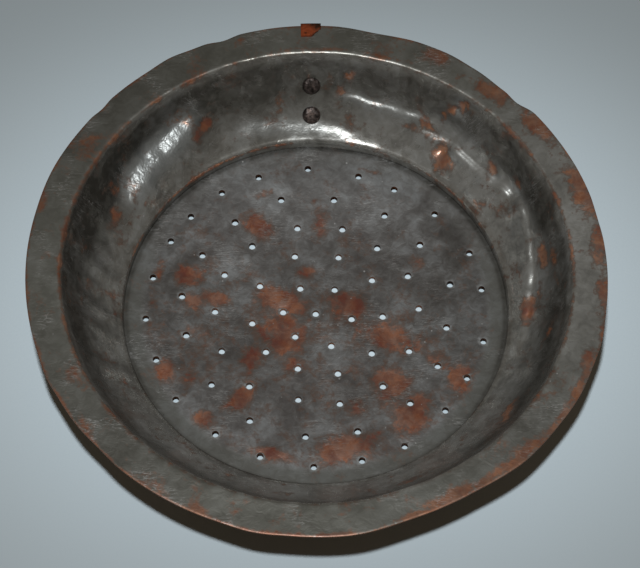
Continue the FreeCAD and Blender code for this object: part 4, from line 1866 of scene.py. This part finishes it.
@dataclass
class SeamSolder:
    """The bead of solder outside, between the floor's flange and the wall."""

    sizes: PanSizes
    finishes: Finishes
    steps: int = 220
    inner: float = 104.4 * MM
    outer: float = 107.2 * MM
    clear: float = 1.3 * MM
    lump: float = 0.3 * MM
    lump_size: float = 5.0 * MM

    def build(self) -> Workpiece:
        """Lay the bead.

        Returns:
            The bead.
        """
        sizes = self.sizes
        foot = sizes.flange_top + sizes.gap
        flange = sizes.flange_inside + sizes.gauge
        toe = station(self.outer, sizes.wall_height(self.outer, self.clear))
        heel = station(self.inner, foot)
        swell = station(flange + 0.8 * MM, foot + 1.2 * MM)
        line = [heel, *fillet(station(flange, foot), swell, toe, 6)]
        for share in (0.33, 0.67, 1.0):
            radius = self.outer + (self.inner - self.outer) * share
            line.append(station(radius, sizes.wall_height(radius, self.clear)))
        line.append(heel)
        piece = Workpiece.lathe("solder_bead", line, self.steps, self.finishes.solder)
        outside = ease(piece.lie().radius, flange, flange + 0.7 * MM)
        piece.press(outside, self.lump, self.lump_size)
        return piece

    def dress(self, piece: Workpiece) -> None:
        """Put the bead in the frame."""
        piece.settle(Body.PAN, "seam_solder", sharp=60.0)


@dataclass
class RimStrap:
    """The strap that is folded over the rim, with its plate on the outside of the wall."""

    sizes: PanSizes
    finishes: Finishes
    hook_length: float = 7.5 * MM
    half_tongue: float = 5.5 * MM
    half_plate: float = 13.0 * MM
    plate_top: float = 42.7 * MM
    plate_bottom: float = 14.0 * MM
    sweep: float = 28.0
    steps: int = 24
    edge_round: float = 0.25 * MM
    bend_round: float = 2.0 * MM
    fold_bulge: float = 0.94
    hook_thinning: float = 0.7 * MM
    tear: tuple[tuple[float, float], ...] = (
        (0.4, 1.0), (1.5, 1.9), (2.2, 3.0), (3.9, 4.2), (4.6, 5.5), (6.5, 5.9),
    )

    def section(self) -> list[Vector]:
        """Draw the side that lies against the pan, from the hook's end round the rim and down the wall.

        Returns:
            The line's points.
        """
        sizes = self.sizes
        above = sizes.rim_top + sizes.gap
        below = sizes.rim_top - sizes.gauge - sizes.gap
        middle = (above + below) / 2
        half = (above - below) / 2
        line = [behind(sizes.rim_radius - self.hook_length * share, above) for share in (1.0, 0.66, 0.33)]
        for turn in turns(math.pi, 8):
            bulge = self.fold_bulge * half * math.sin(turn)
            line.append(behind(sizes.rim_radius + bulge, middle + half * math.cos(turn)))
        low = below - self.bend_round
        bend = behind(sizes.wall_radius(below, sizes.strap_inside), below)
        after = behind(sizes.wall_radius(low, sizes.strap_inside), low)
        line.append(bend + behind(6.0 * MM, 0.0))
        line += fillet(bend + behind(self.bend_round, 0.0), bend, after, 6)
        for share in shares(16)[1:]:
            height = low + (self.plate_bottom - low) * share
            line.append(behind(sizes.wall_radius(height, sizes.strap_inside), height))
        return line

    def outline(self) -> Workpiece:
        """Make a block whose outline is the strap's: a narrow tongue above a plate with a round end.

        Returns:
            The block.
        """
        top = 70.0 * MM
        front, back = 90.0 * MM, 170.0 * MM
        corner = self.half_plate - self.half_tongue
        shoulder = self.plate_top - corner
        centre = self.plate_bottom + self.half_plate
        side = [(self.half_tongue, top)]
        for turn in turns(math.pi / 2, 8):
            side.append((self.half_tongue + corner * math.sin(turn), shoulder + corner * math.cos(turn)))
        for turn in turns(math.pi / 2, 16):
            side.append((self.half_plate * math.cos(turn), centre - self.half_plate * math.sin(turn)))
        mirrored = [(-across, height) for across, height in reversed(side[:-1])]
        line = [Vector((across, front, height)) for across, height in side + mirrored]
        return Workpiece.block("strap_outline", line, (0.0, back - front, 0.0), self.finishes.strap)

    def torn_corner(self) -> Workpiece:
        """Make a block that takes the torn corner off the hook's end.

        Returns:
            The block.
        """
        end = self.sizes.rim_radius - self.hook_length - MM
        side = self.half_tongue + MM
        corners = [(across * MM, end + along * MM) for across, along in self.tear]
        corners += [(side, end), (corners[0][0], end)]
        line = [Vector((*corner, self.sizes.rim_top + self.sizes.gap / 2)) for corner in corners]
        return Workpiece.block("strap_tear", line, (0.0, 0.0, 5.0 * MM), self.finishes.strap)

    def build(self) -> Workpiece:
        """Bend the strap round the rim, trim it and round its edges.

        Returns:
            The strap.
        """
        line = self.section()
        piece = Workpiece.point("copper_strap", line[0], self.finishes.strap)
        piece.draw(line)
        piece.move_to(Matrix.Rotation(math.radians(self.sweep / 2), 4, "Z"))
        piece.turn(self.steps, math.radians(self.sweep))
        self.face_outwards(piece)
        piece.thicken(self.sizes.strap_gauge)
        self.thin_hook(piece)
        piece.cut(self.outline(), keep_inside=True)
        piece.cut(self.torn_corner())
        piece.round_edges(self.edge_round)
        return piece

    def thin_hook(self, piece: Workpiece) -> None:
        """Hammer the hook and the fold thinner than the plate.

        Args:
            piece: The strap, before it is trimmed.
        """
        sizes = self.sizes
        lie = piece.lie()
        middle = sizes.rim_top - sizes.gauge / 2
        off = np.hypot(np.maximum(lie.radius - sizes.rim_radius, 0.0), lie.height - middle)
        outer = off > sizes.gauge / 2 + sizes.gap + sizes.strap_gauge / 2
        fade = ease(lie.radius, sizes.rim_radius - 6.0 * MM, sizes.rim_radius)
        piece.press(outer * np.where(lie.height > middle, 1.0, fade), -self.hook_thinning)

    def face_outwards(self, piece: Workpiece) -> None:
        """Turn the sheet so that its faces look at the pan, and its thickness grows away from it.

        Args:
            piece: The strap's sheet.
        """
        hook = [face for face in piece.object.data.polygons if face.center.z > self.sizes.rim_top]
        if sum(face.normal.z for face in hook) > 0.0:
            piece.flip()

    def dress(self, piece: Workpiece) -> None:
        """Paint the hook's end warmer, most on its left and not over the fold, and put the strap in the frame.

        Args:
            piece: The strap.
        """
        lie = piece.lie()
        left = 0.15 + 0.85 * ease(lie.across, 3.0 * MM, -2.0 * MM)
        fold = ease(lie.radius, self.sizes.rim_radius - 0.5 * MM, self.sizes.rim_radius + 0.4 * MM)
        piece.paint(Mark.BARE, ease(lie.height, self.plate_top, self.sizes.rim_top) * left * (1.0 - fold))
        piece.settle(Body.PAN, "rim_strap")


@dataclass
class LoopClip:
    """The folded strip that holds the loop's bar, under the upper rivet."""

    sizes: PanSizes
    finishes: Finishes
    gauge: float = 1.2 * MM
    width: float = 10.5 * MM
    eye_height: float = 43.4 * MM
    eye_radius: float = 2.6 * MM
    bottom: float = 27.7 * MM
    inside: float = 2.9 * MM
    edge_round: float = 0.25 * MM

    @property
    def eye(self) -> Vector:
        """Middle of the eye, where the loop's bar lies."""
        offset = self.inside + self.gauge / 2 + self.eye_radius
        return behind(self.sizes.wall_radius(self.eye_height, offset), self.eye_height)

    def section(self) -> list[Vector]:
        """Draw the middle line of the strip: up the wall, round the bar and down again.

        Returns:
            The line's points.
        """
        sizes = self.sizes
        across, up = sizes.wall_centre
        inner = self.inside + self.gauge / 2
        outer = inner + self.gauge
        eye, radius = self.eye, self.eye_radius
        lean = math.atan2(eye.z - up, eye.y - across)
        reach = sizes.wall_bend + inner + radius
        closing = math.acos(((sizes.wall_bend + outer) ** 2 - reach**2 - radius**2) / (2 * reach * radius))
        tangent = eye.z - radius * math.sin(lean)
        line = []
        for share in shares(8)[:-1]:
            height = self.bottom + (tangent - self.bottom) * share
            line.append(behind(sizes.wall_radius(height, inner), height))
        for turn in turns(math.pi + closing, 20):
            angle = lean + math.pi - turn
            line.append(eye + behind(math.cos(angle), math.sin(angle)) * radius)
        start = line[-1].z
        for share in shares(7)[1:]:
            height = start + (self.bottom - start) * share
            line.append(behind(sizes.wall_radius(height, outer), height))
        return line

    def build(self) -> Workpiece:
        """Fold the strip round the bar.

        Returns:
            The clip.
        """
        shift = Vector((-self.width / 2, 0.0, 0.0))
        line = [place + shift for place in self.section()]
        piece = Workpiece.point("folded_clip", line[0], self.finishes.strap)
        piece.draw(line)
        with piece.editing(select="SELECT"):
            bpy.ops.mesh.extrude_edges_move(TRANSFORM_OT_translate={"value": (self.width, 0.0, 0.0)})
        piece.thicken(self.gauge, offset=0.0)
        piece.tidy()
        piece.round_edges(self.edge_round, sharp=60.0)
        return piece

    def dress(self, piece: Workpiece) -> None:
        """Paint the clip's bare eye and put it in the frame."""
        piece.paint(Mark.BARE, 0.4 * ease(piece.lie().height, 36.0 * MM, 45.0 * MM))
        piece.settle(Body.PAN, "loop_clip")


@dataclass
class Rivet:
    """A rivet with a hammered head inside the pan, and the burr under its hammered-over tail."""

    sizes: PanSizes
    finishes: Finishes
    side: str
    height: float
    stack: float
    head_radius: float = 5.0 * MM
    head_height: float = 2.2 * MM
    shank_radius: float = 2.25 * MM
    tail_radius: float = 3.75 * MM
    tail_height: float = 1.8 * MM
    burr_radius: float = 4.75 * MM
    burr_bore: float = 2.35 * MM
    burr_gauge: float = 1.2 * MM
    burr_round: float = 0.25 * MM
    facet_depth: float = 0.6 * MM
    facet_size: float = 3.4 * MM
    flattening: float = 0.25 * MM
    steps: int = 48

    def build(self) -> Workpiece:
        """Forge the rivet.

        Returns:
            The rivet, in its place.
        """
        gap = self.sizes.gap
        tail_seat = -(self.stack + self.burr_gauge + gap)
        bend = self.sizes.wall_bend
        head_seat = bend - math.sqrt(bend**2 - self.head_radius**2) + gap
        line = []
        for turn in turns(math.pi / 2, 8):
            height = tail_seat - self.tail_height * math.cos(turn)
            line.append(station(self.tail_radius * math.sin(turn), height))
        line += [station(self.shank_radius, height) for height in (tail_seat, head_seat)]
        for turn in turns(math.pi / 2, 14):
            height = head_seat + self.head_height * math.sin(turn) ** 0.9
            line.append(station(self.head_radius * math.cos(turn) ** 0.5, height))
        piece = Workpiece.lathe(f"{self.side}_rivet_hammered", line, self.steps, self.finishes.rivet)
        dome = ease(piece.lie().height, head_seat + 0.5 * MM, head_seat + 1.2 * MM)
        piece.press(dome, self.facet_depth, self.facet_size, Grain.FACETS, Way.UP)
        piece.press(dome, -self.flattening, way=Way.UP)
        piece.move_to(self.sizes.wall_frame(self.height))
        return piece

    def build_burr(self) -> Workpiece:
        """Make the burr.

        Returns:
            The burr, in its place.
        """
        low = -(self.stack + self.burr_gauge)
        high = -self.stack
        inside, outside = self.burr_bore, self.burr_radius
        sides = ((inside, low), (outside, low), (outside, high), (inside, high), (inside, low))
        line = [station(radius, height) for radius, height in sides]
        piece = Workpiece.lathe(f"{self.side}_burr_cut", line, self.steps, self.finishes.strap)
        piece.round_edges(self.burr_round, sharp=60.0)
        piece.move_to(self.sizes.wall_frame(self.height))
        return piece

    def dress(self, piece: Workpiece) -> None:
        """Put the rivet in the frame."""
        piece.settle(Body.PAN, f"{self.side}_rivet", sharp=55.0)

    def dress_burr(self, piece: Workpiece) -> None:
        """Paint the burr and put it in the frame."""
        piece.paint(Mark.BARE, np.full(len(piece.object.data.vertices), 0.2))
        piece.settle(Body.PAN, f"{self.side}_burr")


@dataclass
class HangingLoop:
    """The closed wire loop that the pan hangs by."""

    finishes: Finishes
    eye: Vector
    wire_radius: float = 1.75 * MM
    half_width: float = 13.25 * MM
    corner: float = 4.0 * MM
    drop: float = 20.75 * MM
    forging_depth: float = 0.22 * MM
    forging_size: float = 6.0 * MM
    points_round: int = 20

    def build(self) -> Workpiece:
        """Bend the wire from the middle of its bar all the way round.

        Returns:
            The loop.
        """
        piece = Workpiece.ring("wire_loop", self.eye, self.wire_radius, self.points_round, self.finishes.wire)
        bar = self.half_width - self.corner
        leg = self.drop - self.corner
        right = self.eye + Vector((bar, 0.0, -self.corner))
        left = self.eye + Vector((-bar, 0.0, -self.corner))
        bottom = self.eye + Vector((0.0, 0.0, -self.drop))
        with piece.editing(select="SELECT"):
            self.run(Vector((bar, 0.0, 0.0)), 6)
            self.bend(right, math.pi / 2, 8)
            self.run(Vector((0.0, 0.0, -leg)), 10)
            self.bend(bottom, math.pi, 28)
            self.run(Vector((0.0, 0.0, leg)), 10)
            self.bend(left, math.pi / 2, 8)
            self.run(Vector((bar, 0.0, 0.0)), 6)
        piece.tidy()
        free = ease(piece.lie().height, self.eye.z - 3.0 * MM, self.eye.z - 9.0 * MM)
        piece.press(free, self.forging_depth, self.forging_size)
        return piece

    @staticmethod
    def run(way: Vector, pieces: int) -> None:
        """Extrude the wire's end straight on, in short pieces."""
        for _ in range(pieces):
            bpy.ops.mesh.extrude_edges_move(TRANSFORM_OT_translate={"value": way / pieces})

    @staticmethod
    def bend(centre: Vector, angle: float, steps: int) -> None:
        """Bend the wire's end about a centre, downwards on the right and upwards on the left."""
        bpy.ops.mesh.spin(steps=steps, angle=angle, center=centre, axis=(0.0, -1.0, 0.0))

    def dress(self, piece: Workpiece) -> None:
        """Put the loop in the frame, on its own body."""
        piece.settle(Body.LOOP, "hanging_loop", sharp=60.0)


@dataclass
class Studio:
    """The table with a painted pool of light, the soft light and the camera."""

    sizes: PanSizes
    table_half: float = 1.5
    table_centre: Triple = (0.0063, 0.0199, 0.0)
    table_narrow: Triple = (0.7546, 1.0, 1.0)
    light_pool_from: float = 0.02
    light_pool_to: float = 0.2415
    paper_scale: float = 900.0
    paper_dark: float = 0.05
    table_rough: float = 0.7
    table_lit_middle: Colour = (0.551, 0.670, 0.742)
    table_shaded_far: Colour = (0.243, 0.287, 0.310)
    world_colour: Colour = (1.0, 0.74, 0.50)
    world_level: float = 0.11
    key_level: float = 0.89
    key_distance: float = 1.5
    key_size: float = 0.06
    key_bearing: float = 263.0
    key_elevation: float = 73.0
    camera_distance: float = 1134.16 * MM
    camera_elevation: float = 61.614
    camera_turn: float = -3.0
    camera_roll: float = 1.844
    camera_right: float = 1.486 * MM
    camera_up: float = -9.705 * MM
    lens: float = 123.75
    sensor_width: float = 36.0

    def build(self) -> None:
        """Set the table, the light and the camera."""
        self.set_table()
        self.set_world()
        self.set_key()
        self.set_camera()

    def set_table(self) -> None:
        """Lay the table with a painted pool of light, palest round the pan and darker further out."""
        bpy.ops.object.select_all(action="DESELECT")
        bpy.ops.mesh.primitive_plane_add(size=2.0 * self.table_half, location=(0.0, 0.0, 0.0))
        table = bpy.context.object
        table.name = "table"
        material, recipe = new_material("table_painted_light_pool")
        place = recipe.place()
        off = place
        for operation, triple in (("SUBTRACT", self.table_centre), ("MULTIPLY", self.table_narrow)):
            node = recipe.lay("ShaderNodeVectorMath", {0: off, 1: triple}, operation=operation)
            off = node.outputs["Vector"]
        length = recipe.lay("ShaderNodeVectorMath", {0: off}, operation="LENGTH").outputs["Value"]
        # Painted pool of light: pale round the pan, falling off to a darker colour further out.
        far = recipe.span(length, self.light_pool_from, self.light_pool_to)
        paper = recipe.noise(place, self.paper_scale, 3.0)
        colour = recipe.mix(far, self.table_lit_middle, self.table_shaded_far)
        colour = recipe.mix(recipe.span(paper, 0.35, 0.65, 0.0, self.paper_dark), colour, self.table_shaded_far)
        shader = recipe.lay("ShaderNodeBsdfPrincipled", {"Base Color": colour, "Roughness": self.table_rough})
        recipe.lay("ShaderNodeOutputMaterial", {"Surface": shader.outputs["BSDF"]})
        table.data.materials.append(material)

    def set_world(self) -> None:
        """Surround the table with an even warm light."""
        world = bpy.data.worlds.new("studio")
        world.use_nodes = True
        background = next(node for node in world.node_tree.nodes if node.type == "BACKGROUND")
        background.inputs["Color"].default_value = (*self.world_colour, 1.0)
        background.inputs["Strength"].default_value = self.world_level
        bpy.context.scene.world = world

    def set_key(self) -> None:
        """Hang a soft lamp above the camera, a little to its left."""
        turn = math.radians(self.key_elevation)
        flat = self.key_distance * math.cos(turn)
        place = polar(flat, self.key_bearing, self.key_distance * math.sin(turn))
        light = bpy.data.lights.new("key", "AREA")
        light.shape = "DISK"
        light.size = self.key_size
        light.energy = self.key_level * math.pi**2 * self.key_distance**2 / math.sin(turn)
        lamp = bpy.data.objects.new("key", light)
        lamp.location = place
        lamp.rotation_euler = place.to_track_quat("Z", "Y").to_euler()
        bpy.context.scene.collection.objects.link(lamp)

    def set_camera(self) -> None:
        """Put the camera where the photograph was taken from."""
        turn = (
            Matrix.Rotation(math.radians(self.camera_turn), 3, "Z")
            @ Matrix.Rotation(math.radians(90.0 - self.camera_elevation), 3, "X")
            @ Matrix.Rotation(math.radians(self.camera_roll), 3, "Z")
        )
        aim = Vector((0.0, 0.0, self.sizes.rim_top))
        data = bpy.data.cameras.new("camera")
        data.lens = self.lens
        data.sensor_width = self.sensor_width
        camera = bpy.data.objects.new("camera", data)
        camera.location = aim + turn @ Vector((self.camera_right, self.camera_up, self.camera_distance))
        camera.rotation_euler = turn.to_euler()
        bpy.context.scene.collection.objects.link(camera)
        bpy.context.scene.camera = camera


def main() -> None:
    """Build and dress every piece, then set the studio."""
    logging.basicConfig(level=logging.INFO, format="%(message)s")
    bpy.context.scene.view_settings.view_transform = "Standard"
    sizes = PanSizes()
    finishes = Finishes.mix()
    clip = LoopClip(sizes, finishes)
    rivets = (
        Rivet(sizes, finishes, "upper", sizes.upper_rivet, sizes.upper_stack),
        Rivet(sizes, finishes, "lower", sizes.lower_rivet, sizes.lower_stack),
    )
    assemblies = (
        Bowl(sizes, finishes),
        StrainerFloor(sizes, finishes),
        SeamSolder(sizes, finishes),
        RimStrap(sizes, finishes),
        clip,
        HangingLoop(finishes, clip.eye),
        *rivets,
    )
    for assembly in assemblies:
        assembly.dress(assembly.build())
    for rivet in rivets:
        rivet.dress_burr(rivet.build_burr())
    Studio(sizes).build()


if __name__ == "__main__":
    main()
